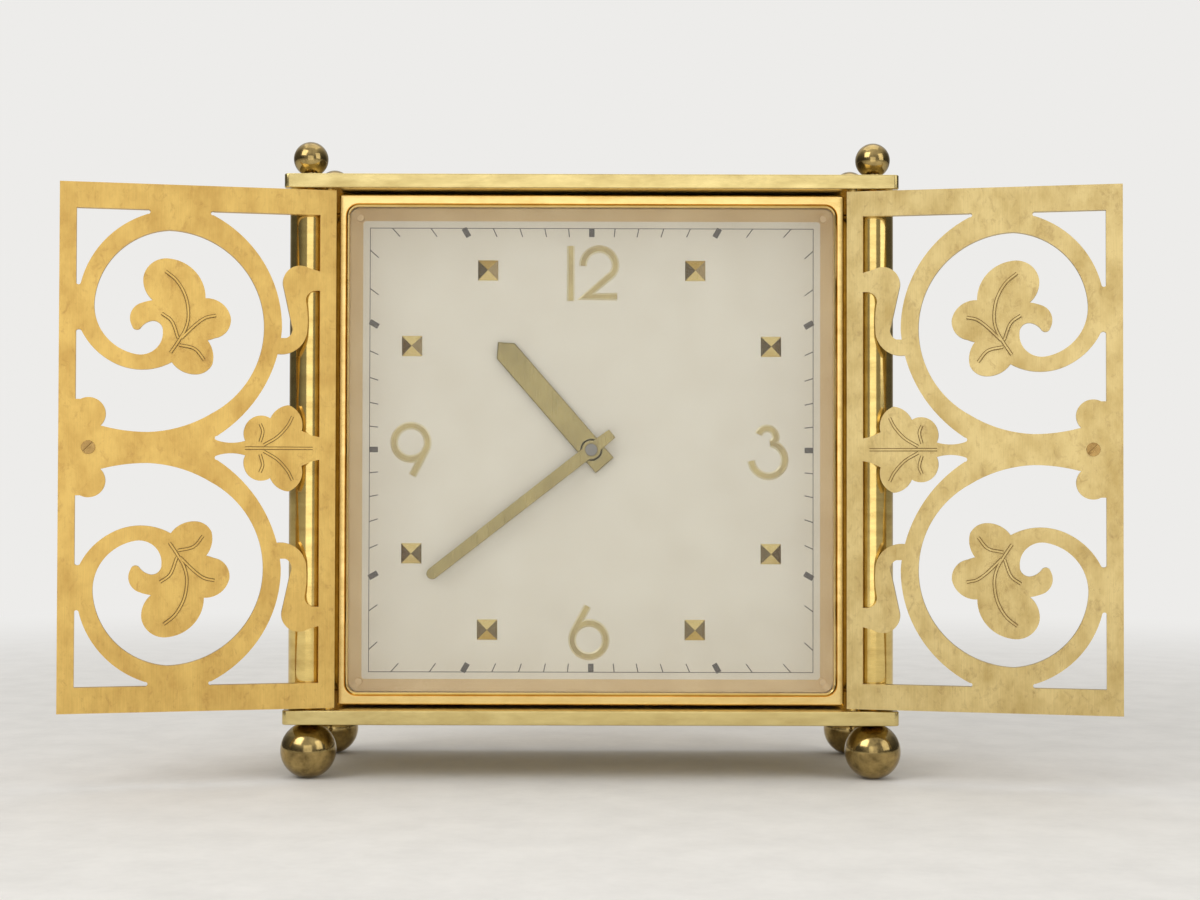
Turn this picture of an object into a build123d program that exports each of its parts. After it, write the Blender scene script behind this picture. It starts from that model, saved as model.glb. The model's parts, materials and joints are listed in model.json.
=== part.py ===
# Square brass desk clock with two pierced scroll doors, shown open.
# Millimetres. +Z is up, +Y runs into the clock, and the dial faces -Y.
# The origin is on the table, under the middle of the clock.
import os
from math import asin, atan2, cos, degrees, hypot, pi, radians, sin, sqrt

from build123d import *

os.makedirs("parts", exist_ok=True)

# End plates, and the columns between them
plate_width = 120.0
plate_depth = 46.0
plate_thickness = 2.8
plate_corner = 1.0
plate_gap = 101.8
edge_break = 0.25
column_diameter = 8.0
column_inset_side = 4.4
column_inset_front = 5.8

# Balls screwed into the column ends through the plates
foot_diameter = 11.0
foot_flat = 2.4
foot_neck = 0.1
finial_diameter = 6.8
finial_neck = 0.25
neck_diameter = 3.6
stud_diameter = 3.0
stud_depth = 6.0
stud_clearance = 0.05

# Doors, drawn as they stand open against the front columns
hinge_inset = 4.4
hinge_setback = 1.75
hinge_edge = 1.15
hinge_pin_diameter = 0.9
hinge_pin_seat = 2.0
hinge_pin_reach = 4.0
pin_clearance = 0.04
door_thickness = 1.6
door_end_gap = 0.4
door_meeting_gap = 0.4
door_stop_gap = 0.1
boss_running_gap = 0.06
door_rail = 4.9
door_stile = 3.1
pad_radius = 3.15
pad_depth = 3.0
pad_length = 7.1

# Knob of each door, and the screw that holds it
knob_from_edge = 5.5
knob_diameter = 4.6
knob_length = 4.2
knob_foot = 2.8
knob_screw_diameter = 1.2
knob_screw_head = 2.6
knob_screw_head_height = 0.35
knob_screw_depth = 2.6

# Case between the plates, with its bezel, glass and dial surround
case_side_gap = 1.7
case_end_gap = 0.5
case_wall = 1.3
case_length = 28.0
case_setback = 5.5
fit_clearance = 0.1
bezel_depth = 3.5
bezel_lip = 0.8
bezel_side = 1.95
bezel_rail = 2.45
bezel_corner = 3.0
glass_thickness = 1.5
surround_depth = 2.9
surround_band = 2.15
surround_window_corner = 0.6
post_size = 5.0
post_screw_inset = 3.6
post_screw_diameter = 1.4
post_screw_length = 6.0
surround_screw_head = 1.8
cover_thickness = 1.2
cover_screw_head = 2.8
cover_screw_head_height = 0.7
spacer_diameter = 7.0
case_screw_diameter = 2.6
case_screw_head = 5.0
case_screw_x = 30.0
case_screw_tip = 1.1

# Dial and what is applied to it
dial_thickness = 0.8
dial_hole = 5.4
dial_foot_diameter = 3.0
dial_foot_spigot = 1.6
dial_foot_radius = 35.5
numeral_stroke = 1.05
numeral_height = 0.5
marker_size = 4.05
marker_height = 1.1
marker_circle = 41.5

# Hands, at the time shown
hour_angle = 319.0
minute_angle = 232.0
hand_thickness = 0.4
hour_hand_rise = 0.9
minute_hand_rise = 2.0
hour_hand_length = 28.5
hour_hand_width = 4.2
hour_hand_waist = 3.4
hour_hand_tail = 4.0
minute_hand_length = 41.2
minute_hand_width = 2.3
minute_hand_tail = 5.3
minute_hand_hub = 3.8

# Movement plates, and the room between them
motion_space = 3.6
movement_plate_diameter = 78.0
movement_plate_thickness = 1.6
train_space = 15.0
pillar_diameter = 4.0
pillar_circle = 34.0
pillar_screw_diameter = 1.6
pillar_screw_head = 3.2
pillar_screw_head_height = 0.8
pivot_clearance = 0.05
pivot_diameter = 0.5
arbor_diameter = 0.8
minute_stud_diameter = 1.2
end_shake = 0.1

# Teeth of each pair: wheel teeth, pinion leaves and module
barrel_teeth, first_leaves, barrel_module = 48, 8, 0.6
first_teeth, centre_leaves, first_module = 40, 8, 0.55
centre_teeth, third_leaves, centre_module = 56, 7, 0.38
third_teeth, fourth_leaves, third_module = 45, 6, 0.36
fourth_teeth, escape_leaves, fourth_module = 60, 6, 0.25
minute_teeth, cannon_leaves, minute_module = 24, 8, 0.5
hour_teeth, minute_leaves, hour_module = 32, 8, 0.4
tooth_height = 0.9
tooth_root = 1.25
leaf_tip_share = 0.22
leaf_root_share = 0.58
wheel_root_share = 0.62
most_leaves = 12
window_share = 0.72
wheel_thickness = 0.8
pinion_length = 2.2

# Direction of each arbor from the one before it, in degrees from +X towards +Z
first_direction = 215.0
barrel_direction = 125.0
third_direction = 20.0
fourth_direction = 80.0
escape_direction = 140.0
fork_direction = 60.0
balance_direction = 150.0
minute_direction = 270.0
setting_direction = 330.0

# Heights of the wheels behind the front plate
centre_level = 1.0
first_level = 2.6
third_level = 5.0
fourth_level = 8.0
escape_level = 11.0
barrel_level = 4.4
drum_height = 7.0
drum_diameter = 26.0
drum_wall = 0.9
great_wheel_thickness = 1.5
barrel_arbor_diameter = 3.0
core_radius = 4.0
mainspring_turns = 4
mainspring_pitch = 1.1
mainspring_width = 0.6
escape_teeth = 15
escape_diameter = 8.0
fork_distance = 6.2
fork_reach = 6.1
fork_slot = 0.7
balance_distance = 8.0
balance_diameter = 12.0
balance_rim = 1.1
balance_thickness = 1.0
balance_sink = 0.2
balance_window_gap = 0.8
roller_radius = 1.6
impulse_pin_diameter = 0.4
hairspring_turns = 3
hairspring_pitch = 0.7
hairspring_width = 0.2
spiral_points = 14

# Winding, setting and regulating pieces behind the back plate
ratchet_teeth = 16
ratchet_diameter = 10.0
ratchet_thickness = 0.9
click_gap = 0.3
click_direction = 250.0
click_stud_diameter = 1.2
click_spring_pin = 1.0
cock_width = 5.0
cock_thickness = 1.2
cock_rise = 0.7
cock_reach = 11.0
cock_direction = 180.0
regulator_length = 9.0
regulator_thickness = 0.5
winding_key_reach = 16.8
winding_key_width = 17.0
winding_key_height = 9.0
winding_key_thickness = 2.0
winding_shaft_diameter = 4.4
key_gap = 0.4
key_seat = 5.0
setting_shaft_diameter = 2.0
setting_knob_diameter = 10.0
setting_knob_length = 5.0
setting_knob_gap = 1.5

# Heights above the table
foot_radius = foot_diameter / 2
finial_radius = finial_diameter / 2
foot_centre = sqrt(foot_radius**2 - (foot_flat / 2) ** 2)
bottom_plate_z = foot_centre + foot_radius + foot_neck
floor_z = bottom_plate_z + plate_thickness
top_plate_z = floor_z + plate_gap
finial_centre = top_plate_z + plate_thickness + finial_neck + finial_radius
dial_z = floor_z + plate_gap / 2

# Depths, from the front of the plates to the back of the cover
plate_front = -plate_depth / 2
bezel_front = plate_front + case_setback
bezel_back = bezel_front + bezel_depth
glass_front = bezel_front + bezel_lip
glass_back = glass_front + glass_thickness
dial_front = glass_back + surround_depth
dial_back = dial_front + dial_thickness
front_plate_y = dial_back + motion_space
train_y = front_plate_y + movement_plate_thickness
back_plate_y = train_y + train_space
back_plate_rear = back_plate_y + movement_plate_thickness
case_back = bezel_back + case_length
cover_back = case_back + cover_thickness
case_width = plate_width - 2 * (column_inset_side + column_diameter / 2 + case_side_gap)
case_height = plate_gap - 2 * case_end_gap
case_inner_width = case_width - 2 * case_wall
case_inner_height = case_height - 2 * case_wall
opening_width = case_width - 2 * bezel_side
opening_height = case_height - 2 * bezel_rail
window_width = opening_width - 2 * surround_band
window_height = opening_height - 2 * surround_band

# Places of the columns
column_x = plate_width / 2 - column_inset_side
column_y = plate_depth / 2 - column_inset_front
column_places = {
    "front_left": (-column_x, -column_y),
    "front_right": (column_x, -column_y),
    "rear_left": (-column_x, column_y),
    "rear_right": (column_x, column_y),
}

# A door's size, and how far short of flat it stops against its column
hinge_x = column_x - hinge_inset
door_height = plate_gap - 2 * door_end_gap
door_width = hinge_x + hinge_edge - door_meeting_gap / 2
field_width = door_width - 2 * door_stile
field_height = door_height / 2 - door_rail
hinge_y = plate_front + hinge_setback
stop_x = column_x - hinge_x
stop_y = -column_y - hinge_y
stop_distance = (column_diameter + door_thickness) / 2 + door_stop_gap
door_tilt = asin(stop_distance / hypot(stop_x, stop_y)) - atan2(stop_y, stop_x)


def write(part, name):
    part.label = name
    export_step(part, f"parts/{name}.step")


def facing(y, x=0.0, z=0.0, turn=0.0):
    """A plane that faces the viewer, on the dial's axis or beside it."""
    angle = radians(turn)
    return Plane(
        origin=(x, y, dial_z + z), x_dir=(cos(angle), 0, sin(angle)), z_dir=(0, -1, 0)
    )


def turned(place, *steps):
    """Cylinders along one line of depth, each given as start, end and radius."""
    for start, end, radius in steps:
        with BuildSketch(facing(end, *place)) as section:
            Circle(radius)
        extrude(section.sketch, amount=end - start)


def bored(place, start, end, radius):
    with BuildSketch(facing(end, *place)) as section:
        Circle(radius)
    extrude(section.sketch, amount=end - start, mode=Mode.SUBTRACT)


def polar(radius, angle):
    return (radius * cos(angle), radius * sin(angle))


def plate_cut(place, start, thickness, outline, mode=Mode.ADD):
    """A flat piece, or a window, with a straight-sided outline."""
    with BuildSketch(facing(start + thickness, *place)) as flat:
        with BuildLine():
            Polyline(*outline, close=True)
        make_face()
    extrude(flat.sketch, amount=thickness, mode=mode)


def toothed(place, start, thickness, teeth, module, phase):
    """A toothed disc whose first tooth points along the phase, in radians.

    Wheel teeth come to a point, and pinion leaves have flat tips.
    """
    pitch = 2 * pi / teeth
    tip = (teeth / 2 + tooth_height) * module
    root = (teeth / 2 - tooth_root) * module
    if teeth > most_leaves:
        corners = ((root, -wheel_root_share), (tip, 0), (root, wheel_root_share))
    else:
        corners = (
            (root, -leaf_root_share),
            (tip, -leaf_tip_share),
            (tip, leaf_tip_share),
            (root, leaf_root_share),
        )
    outline = [
        polar(radius, phase + (tooth + share / 2) * pitch)
        for tooth in range(teeth)
        for radius, share in corners
    ]
    plate_cut(place, start, thickness, outline)


def crossed(place, start, thickness, inner, outer, count):
    """Straight-sided windows that leave the arms of a wheel."""
    half = window_share * pi / count
    for arm in range(count):
        middle = (2 * arm + 1) * pi / count
        outline = [
            polar(inner, middle - half / 2),
            polar(outer, middle - half),
            polar(outer, middle),
            polar(outer, middle + half),
            polar(inner, middle + half / 2),
        ]
        plate_cut(place, start, thickness, outline, Mode.SUBTRACT)


def spiral(place, start, height, inner, turns, pitch, width):
    """A flat spring whose turns lie a pitch apart."""
    count = round(turns * spiral_points)
    angles = [2 * pi * index / spiral_points for index in range(count + 1)]
    outer_side = [polar(inner + width + pitch * angle / (2 * pi), angle) for angle in angles]
    inner_side = [polar(inner + pitch * angle / (2 * pi), angle) for angle in angles]
    plate_cut(place, start, height, outer_side + inner_side[::-1])


def beside(place, distance, direction):
    angle = radians(direction)
    return (place[0] + distance * cos(angle), place[1] + distance * sin(angle))


def meshed(phase, teeth, next_teeth, direction):
    """The phase that puts a gap of the next wheel on the line of centres at a tooth."""
    angle = radians(direction)
    turn = ((angle - phase) * teeth / (2 * pi)) % 1
    return angle + pi - (0.5 - turn) * 2 * pi / next_teeth


def arcs(*points):
    """Arcs end to end: every second point is the middle of an arc."""
    for index in range(0, len(points) - 2, 2):
        ThreePointArc(points[index], points[index + 1], points[index + 2])


def drawn(*points):
    """Points of the scrollwork, in thousandths of the upper field inside the door's frame."""
    return [
        (door_stile + u * field_width / 1000, v * field_height / 1000) for u, v in points
    ]


# Bottom and top plates: square to the table, with rounded upright corners
with BuildPart() as bottom_plate:
    with BuildSketch(Plane.XY.offset(bottom_plate_z)):
        RectangleRounded(plate_width, plate_depth, plate_corner)
        with Locations(*column_places.values()):
            Circle(stud_diameter / 2 + stud_clearance, mode=Mode.SUBTRACT)
        with Locations((-case_screw_x, 0), (case_screw_x, 0)):
            Circle(case_screw_diameter / 2 + stud_clearance, mode=Mode.SUBTRACT)
    extrude(amount=plate_thickness)
    with BuildSketch(Plane.XY.offset(bottom_plate_z)):
        with Locations((-case_screw_x, 0), (case_screw_x, 0)):
            Circle(case_screw_head / 2 + stud_clearance)
    extrude(amount=plate_thickness / 2, mode=Mode.SUBTRACT)
    with BuildSketch(Plane.XY.offset(floor_z)):
        with Locations((-hinge_x, hinge_y), (hinge_x, hinge_y)):
            Circle(hinge_pin_diameter / 2)
    extrude(amount=-hinge_pin_seat, mode=Mode.SUBTRACT)
write(bottom_plate.part, "bottom_plate")

with BuildPart() as top_plate:
    with BuildSketch(Plane.XY.offset(top_plate_z)):
        RectangleRounded(plate_width, plate_depth, plate_corner)
        with Locations(*column_places.values()):
            Circle(stud_diameter / 2 + stud_clearance, mode=Mode.SUBTRACT)
    extrude(amount=plate_thickness)
    with BuildSketch(Plane.XY.offset(top_plate_z)):
        with Locations((-hinge_x, hinge_y), (hinge_x, hinge_y)):
            Circle(hinge_pin_diameter / 2)
    extrude(amount=hinge_pin_seat, mode=Mode.SUBTRACT)
write(top_plate.part, "top_plate")

# Columns, bored at both ends for the studs of the balls
for corner, place in column_places.items():
    with BuildPart() as column:
        with BuildSketch(Plane.XY.offset(floor_z)):
            with Locations(place):
                Circle(column_diameter / 2)
        extrude(amount=plate_gap)
        for end, reach in ((floor_z, stud_depth), (top_plate_z, -stud_depth)):
            with BuildSketch(Plane.XY.offset(end)):
                with Locations(place):
                    Circle(stud_diameter / 2 + stud_clearance)
            extrude(amount=reach, mode=Mode.SUBTRACT)
    write(column.part, f"column_{corner}")

# Ball feet, turned flat where they stand, and the smaller balls on top
stud_length = plate_thickness + stud_depth - fit_clearance
with BuildPart() as ball_feet:
    with Locations(*[(x, y, foot_centre) for x, y in column_places.values()]):
        Sphere(foot_radius)
    with Locations(*[(x, y, foot_centre + foot_radius - foot_neck) for x, y in column_places.values()]):
        Cylinder(neck_diameter / 2, 2 * foot_neck, align=(Align.CENTER, Align.CENTER, Align.MIN))
    with Locations(*[(x, y, foot_centre) for x, y in column_places.values()]):
        Cylinder(
            stud_diameter / 2,
            bottom_plate_z - foot_centre + stud_length,
            align=(Align.CENTER, Align.CENTER, Align.MIN),
        )
    split(bisect_by=Plane.XY)
write(ball_feet.part, "ball_feet")

with BuildPart() as ball_finials:
    with Locations(*[(x, y, finial_centre) for x, y in column_places.values()]):
        Sphere(finial_radius)
        Cylinder(
            neck_diameter / 2,
            finial_radius + finial_neck,
            align=(Align.CENTER, Align.CENTER, Align.MAX),
        )
        Cylinder(
            stud_diameter / 2,
            finial_radius + finial_neck + stud_length,
            align=(Align.CENTER, Align.CENTER, Align.MAX),
        )
write(ball_finials.part, "ball_finials")

# One door's scrollwork: what is open above mid-height, then the same below
with BuildSketch() as openings:
    with BuildLine():
        side, top = door_stile, door_height / 2 - door_rail
        ring = drawn((443, 1000), (456, 993), (445, 984))
        Polyline((side, 0), (side, top), (ring[0][0], top))
        ThreePointArc((ring[0][0], top), ring[1], ring[2])
        arcs(ring[2], *drawn((250, 811), (159, 510), (217, 290), (425, 51)))
        arcs(*drawn((425, 51), (435, 42), (427, 33)))
        Polyline(*drawn((427, 33)), (drawn((427, 0))[0][0], 0), (side, 0))
    make_face()
    with BuildLine():
        outer = door_width - door_stile
        tip = drawn((716, 1000), (703, 991), (714, 981))
        Line((outer, top), (tip[0][0], top))
        ThreePointArc((tip[0][0], top), tip[1], tip[2])
        arcs(tip[2], *drawn((873, 881), (982, 684)))
        low = drawn((991, 678), (1000, 690))
        ThreePointArc(drawn((982, 684))[0], low[0], (outer, low[1][1]))
        Line((outer, low[1][1]), (outer, top))
    make_face()
    with BuildLine():
        start = drawn((892, 89))[0]
        arcs(start, *drawn((802, 71), (707, 65), (577, 87), (449, 145)))
        arcs(*drawn((449, 145), (284, 312), (233, 510), (350, 799), (626, 916)))
        arcs(*drawn((626, 916), (839, 812), (927, 607)))
        Polyline(
            *drawn((927, 607)),
            (outer, drawn((0, 607))[0][1]),
            (outer, drawn((0, 110))[0][1]),
            start,
        )
    make_face()
    # Tendril from the ring to the hinge stile
    with BuildLine():
        Polyline(*drawn((187, 404), (192, 469), (141, 470)))
        arcs(*drawn((141, 470), (120, 488), (118, 525), (140, 624), (155, 697)))
        arcs(*drawn((155, 697), (129, 764), (46, 770)))
        Polyline(*drawn((46, 770), (-11, 754), (-11, 675), (20, 675)))
        arcs(*drawn((20, 675), (50, 659), (59, 626), (52, 569), (53, 510)))
        arcs(*drawn((53, 510), (91, 427), (187, 404)))
    make_face(mode=Mode.SUBTRACT)
    # Half of the middle leaf, with its stem
    with BuildLine():
        Polyline(*drawn((-11, 0), (-11, 46), (33, 55), (75, 75)))
        arcs(*drawn((75, 75), (85, 147), (130, 184), (174, 167), (205, 127)))
        arcs(*drawn((205, 127), (271, 133), (312, 86), (316, 57), (309, 31)))
        arcs(*drawn((309, 31), (370, 22), (432, 34)))
        Polyline(*drawn((432, 34), (447, 0), (-11, 0)))
    make_face(mode=Mode.SUBTRACT)
    # Scroll that curls in from the outer stile and ends in the large leaf
    with BuildLine():
        arcs(*drawn((927, 607), (884, 468), (753, 390), (670, 424), (650, 492)))
        arcs(*drawn((650, 492), (664, 524), (694, 533), (719, 523), (740, 502)))
        arcs(*drawn((740, 502), (760, 495), (775, 510), (779, 567), (744, 604)))
        arcs(*drawn((744, 604), (718, 613), (691, 619), (725, 668), (730, 716)))
        arcs(*drawn((730, 716), (703, 768), (619, 795), (529, 754), (476, 632)))
        arcs(*drawn((476, 632), (407, 610), (372, 554), (385, 497), (436, 465)))
        arcs(*drawn((436, 465), (452, 459), (467, 455), (445, 407), (446, 354)))
        arcs(*drawn((446, 354), (471, 324), (515, 310), (573, 324), (613, 360)))
        arcs(*drawn((613, 360), (740, 327), (857, 359), (932, 418), (978, 486)))
        arcs(*drawn((978, 486), (989, 492), (1002, 479)))
        Polyline(*drawn((1002, 479), (1024, 479), (1024, 620), (945, 620), (927, 607)))
    make_face(mode=Mode.SUBTRACT)
    # Rounded pad beside the knob
    with Locations(drawn((947, 140))):
        Circle(pad_radius, mode=Mode.SUBTRACT)
    with Locations(drawn((980, 123))):
        Rectangle(pad_depth, pad_length, mode=Mode.SUBTRACT)
    mirror(about=Plane.XZ)

for side, hand in ((-1, "left"), (1, "right")):
    along_door = Vector(side * cos(door_tilt), -sin(door_tilt), 0)
    door_plane = Plane(
        origin=(side * hinge_x, hinge_y, dial_z),
        x_dir=along_door,
        z_dir=along_door.cross(Vector(0, 0, 1)),
    )
    inward = Vector(-sin(door_tilt), -cos(door_tilt) * side, 0) * side
    knob_at = door_width - hinge_edge - knob_from_edge
    with BuildPart() as door:
        with BuildSketch(door_plane):
            with Locations((door_width / 2 - hinge_edge, 0)):
                Rectangle(door_width, door_height)
            with Locations((-hinge_edge, 0)):
                add(openings.sketch_local, mode=Mode.SUBTRACT)
            with Locations((knob_at, 0)):
                Circle(knob_screw_diameter / 2 + stud_clearance, mode=Mode.SUBTRACT)
        extrude(amount=door_thickness / 2, both=True)
        # Hinge bosses that keep the door off the plates, bored for the pins
        hinge = Plane(origin=(side * hinge_x, hinge_y, dial_z))
        boss_length = door_height / 2 + door_end_gap - boss_running_gap
        for way in (-1, 1):
            with BuildSketch(hinge.offset(way * boss_length)):
                Circle(door_thickness / 2)
            extrude(amount=-way * (hinge_pin_reach + door_end_gap))
            with BuildSketch(hinge.offset(way * boss_length)):
                Circle(hinge_pin_diameter / 2 + pin_clearance)
            extrude(amount=-way * (hinge_pin_reach + door_end_gap), mode=Mode.SUBTRACT)
    write(door.part, f"{hand}_door")

    # The knob is on the door's outer face, which is at the back while it stands open
    knob_point = Vector(side * hinge_x, hinge_y, dial_z) + along_door * knob_at
    outer_face = Plane(
        origin=knob_point - inward * door_thickness / 2, x_dir=along_door, z_dir=-inward
    )
    inner_face = Plane(
        origin=knob_point + inward * door_thickness / 2, x_dir=along_door, z_dir=inward
    )
    knob_hole = knob_screw_depth + fit_clearance
    with BuildPart() as knob:
        with BuildSketch(Plane(outer_face.origin, outer_face.x_dir, outer_face.y_dir)):
            with BuildLine():
                foot, waist, head = knob_foot / 2, knob_foot / 3, knob_diameter / 2
                Polyline((0, 0), (foot, 0), (foot, -0.4), (waist, -1.0), (waist, -1.5))
                ThreePointArc(
                    (waist, -1.5), (head, -(knob_length + 1.5) / 2), (waist, -knob_length)
                )
                Polyline((waist, -knob_length), (0, -knob_length), (0, 0))
            make_face()
        revolve(axis=Axis(outer_face.origin, outer_face.z_dir))
        with BuildSketch(outer_face):
            Circle(knob_screw_diameter / 2 + stud_clearance)
        extrude(amount=knob_hole, mode=Mode.SUBTRACT)
    write(knob.part, f"{hand}_knob")

    with BuildPart() as knob_screw:
        with BuildSketch(inner_face):
            Circle(knob_screw_head / 2)
        extrude(amount=knob_screw_head_height)
        with BuildSketch(inner_face):
            Circle(knob_screw_diameter / 2)
        extrude(amount=-(door_thickness + knob_screw_depth))
        with BuildSketch(inner_face.offset(knob_screw_head_height)):
            Rectangle(knob_screw_head, 0.4, rotation=45)
        extrude(amount=-0.2, mode=Mode.SUBTRACT)
    write(knob_screw.part, f"{hand}_knob_screw")

with BuildPart() as hinge_pins:
    pin_length = hinge_pin_seat + door_end_gap + hinge_pin_reach - fit_clearance
    with Locations(*[(side * hinge_x, hinge_y, floor_z - hinge_pin_seat) for side in (-1, 1)]):
        Cylinder(
            hinge_pin_diameter / 2, pin_length, align=(Align.CENTER, Align.CENTER, Align.MIN)
        )
    with Locations(
        *[(side * hinge_x, hinge_y, top_plate_z + hinge_pin_seat) for side in (-1, 1)]
    ):
        Cylinder(
            hinge_pin_diameter / 2, pin_length, align=(Align.CENTER, Align.CENTER, Align.MAX)
        )
write(hinge_pins.part, "hinge_pins")

# Case: a square tube with a tapped post in each corner
post_x = case_inner_width / 2 - post_size / 2
post_z = case_inner_height / 2 - post_size / 2
screw_places = [
    (side * (case_inner_width / 2 - post_screw_inset), way * (case_inner_height / 2 - post_screw_inset))
    for side in (-1, 1)
    for way in (-1, 1)
]
tap_depth = post_screw_length + 0.5
with BuildPart() as case_body:
    with BuildSketch(facing(case_back)):
        Rectangle(case_width, case_height)
        Rectangle(case_inner_width, case_inner_height, mode=Mode.SUBTRACT)
    extrude(amount=case_length)
    with BuildSketch(facing(case_back)):
        with GridLocations(2 * post_x, 2 * post_z, 2, 2):
            Rectangle(post_size, post_size)
    extrude(amount=case_back - dial_back)
    for end, reach in ((case_back, tap_depth), (dial_back, -tap_depth)):
        with BuildSketch(facing(end)):
            with Locations(*screw_places):
                Circle(post_screw_diameter / 2 + stud_clearance)
        extrude(amount=reach, mode=Mode.SUBTRACT)
    with BuildSketch(Plane.XY.offset(floor_z + case_end_gap)):
        with Locations((-case_screw_x, 0), (case_screw_x, 0)):
            Circle(case_screw_diameter / 2 + stud_clearance)
    extrude(amount=case_wall, mode=Mode.SUBTRACT)
write(case_body.part, "case_body")

with BuildPart() as case_spacers:
    with BuildSketch(Plane.XY.offset(floor_z)):
        with Locations((-case_screw_x, 0), (case_screw_x, 0)):
            Circle(spacer_diameter / 2)
            Circle(case_screw_diameter / 2 + stud_clearance, mode=Mode.SUBTRACT)
    extrude(amount=case_end_gap)
write(case_spacers.part, "case_spacers")

with BuildPart() as case_screws:
    with BuildSketch(Plane.XY.offset(bottom_plate_z)):
        with Locations((-case_screw_x, 0), (case_screw_x, 0)):
            Circle(case_screw_head / 2)
            Rectangle(case_screw_head + 1, 0.8, mode=Mode.SUBTRACT)
    extrude(amount=plate_thickness / 4)
    with BuildSketch(Plane.XY.offset(bottom_plate_z + plate_thickness / 4)):
        with Locations((-case_screw_x, 0), (case_screw_x, 0)):
            Circle(case_screw_head / 2)
    extrude(amount=plate_thickness / 4)
    with BuildSketch(Plane.XY.offset(bottom_plate_z + plate_thickness / 2)):
        with Locations((-case_screw_x, 0), (case_screw_x, 0)):
            Circle(case_screw_diameter / 2)
    extrude(amount=plate_thickness / 2 + case_end_gap + case_wall + case_screw_tip)
write(case_screws.part, "case_screws")

# Bezel with a lip in front of the glass
with BuildPart() as bezel:
    with BuildSketch(facing(bezel_back)):
        Rectangle(case_width, case_height)
        RectangleRounded(opening_width, opening_height, bezel_corner, mode=Mode.SUBTRACT)
    extrude(amount=bezel_depth)
    with BuildSketch(facing(bezel_back)):
        Rectangle(case_inner_width, case_inner_height)
    extrude(amount=bezel_depth - bezel_lip, mode=Mode.SUBTRACT)
    chamfer(bezel.edges().group_by(Axis.Y)[0], edge_break)
write(bezel.part, "bezel")

with BuildPart() as glass:
    with BuildSketch(facing(glass_back)):
        Rectangle(case_inner_width - 2 * fit_clearance, case_inner_height - 2 * fit_clearance)
    extrude(amount=glass_thickness)
write(glass.part, "glass")

# Sloped surround between the glass and the dial, held at its corners by four screws
with BuildPart() as dial_surround:
    with BuildSketch(facing(dial_front)):
        Rectangle(case_inner_width - 2 * fit_clearance, case_inner_height - 2 * fit_clearance)
    extrude(amount=surround_depth)
    with BuildSketch(facing(dial_front)):
        RectangleRounded(window_width, window_height, surround_window_corner)
    with BuildSketch(facing(glass_back)):
        RectangleRounded(opening_width, opening_height, bezel_corner)
    loft(ruled=True, mode=Mode.SUBTRACT)
    with BuildSketch(facing(dial_front)):
        with Locations(*screw_places):
            Circle(post_screw_diameter / 2 + stud_clearance)
    extrude(amount=surround_depth, mode=Mode.SUBTRACT)
    with BuildSketch(facing(dial_front - surround_depth / 2)):
        with Locations(*screw_places):
            Circle(surround_screw_head / 2 + stud_clearance)
    extrude(amount=surround_depth / 2, mode=Mode.SUBTRACT)
write(dial_surround.part, "dial_surround")

with BuildPart() as surround_screws:
    with BuildSketch(facing(dial_front - surround_depth / 2)):
        with Locations(*screw_places):
            Circle(surround_screw_head / 2)
    extrude(amount=0.6)
    with BuildSketch(facing(dial_front - surround_depth / 2)):
        with Locations(*screw_places):
            Circle(post_screw_diameter / 2)
    extrude(amount=-(surround_depth / 2 + dial_thickness + post_screw_length))
write(surround_screws.part, "surround_screws")

# Dial with four feet that stand on the movement's front plate
foot_places = [beside((0, 0), dial_foot_radius, angle) for angle in (15, 165, 195, 345)]
with BuildPart() as dial:
    with BuildSketch(facing(dial_back)):
        Rectangle(case_inner_width - 2 * fit_clearance, case_inner_height - 2 * fit_clearance)
        Circle(dial_hole / 2, mode=Mode.SUBTRACT)
        with Locations(*screw_places):
            Circle(post_screw_diameter / 2 + stud_clearance, mode=Mode.SUBTRACT)
    extrude(amount=dial_thickness)
    for place in foot_places:
        turned(
            place,
            (dial_back, front_plate_y, dial_foot_diameter / 2),
            (front_plate_y, train_y, dial_foot_spigot / 2),
        )
write(dial.part, "dial")

# Applied numerals, from the dial's centre
with BuildPart() as numerals:
    with BuildSketch(facing(dial_front)):
        with Locations((-4.2, 35.4)):
            Rectangle(numeral_stroke * 1.12, 11.0)
        with BuildLine():
            ThreePointArc((-1.75, 36.9), (1.35, 40.3), (4.75, 37.2))
            ThreePointArc((4.75, 37.2), (4.5, 35.9), (3.5, 34.75))
            Line((3.5, 34.75), (-1.0, 30.95))
        trace(line_width=numeral_stroke)
        with Locations((1.95, 30.75)):
            Rectangle(6.3, numeral_stroke * 0.95)
        with BuildLine():
            ThreePointArc((33.6, 3.3), (35.3, 4.4), (36.9, 2.9))
            ThreePointArc((36.9, 2.9), (36.75, 1.9), (35.75, 1.3))
        trace(line_width=numeral_stroke)
        with BuildLine():
            ThreePointArc((36.3, 1.45), (38.7, -1.8), (35.6, -5.2))
            ThreePointArc((35.6, -5.2), (33.25, -4.35), (32.0, -2.1))
        trace(line_width=numeral_stroke)
        for ring_place, tail, end in (
            ((-0.4, -37.9), (-3.45, -36.7), (-0.75, -31.2)),
            ((-36.1, 1.45), (-33.05, 0.25), (-35.75, -5.2)),
        ):
            with Locations(ring_place):
                Circle(3.27 + numeral_stroke / 2)
                Circle(3.27 - numeral_stroke / 2, mode=Mode.SUBTRACT)
            with BuildLine():
                Line(tail, end)
            trace(line_width=numeral_stroke)
    extrude(amount=numeral_height)
write(numerals.part, "numerals")

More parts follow.
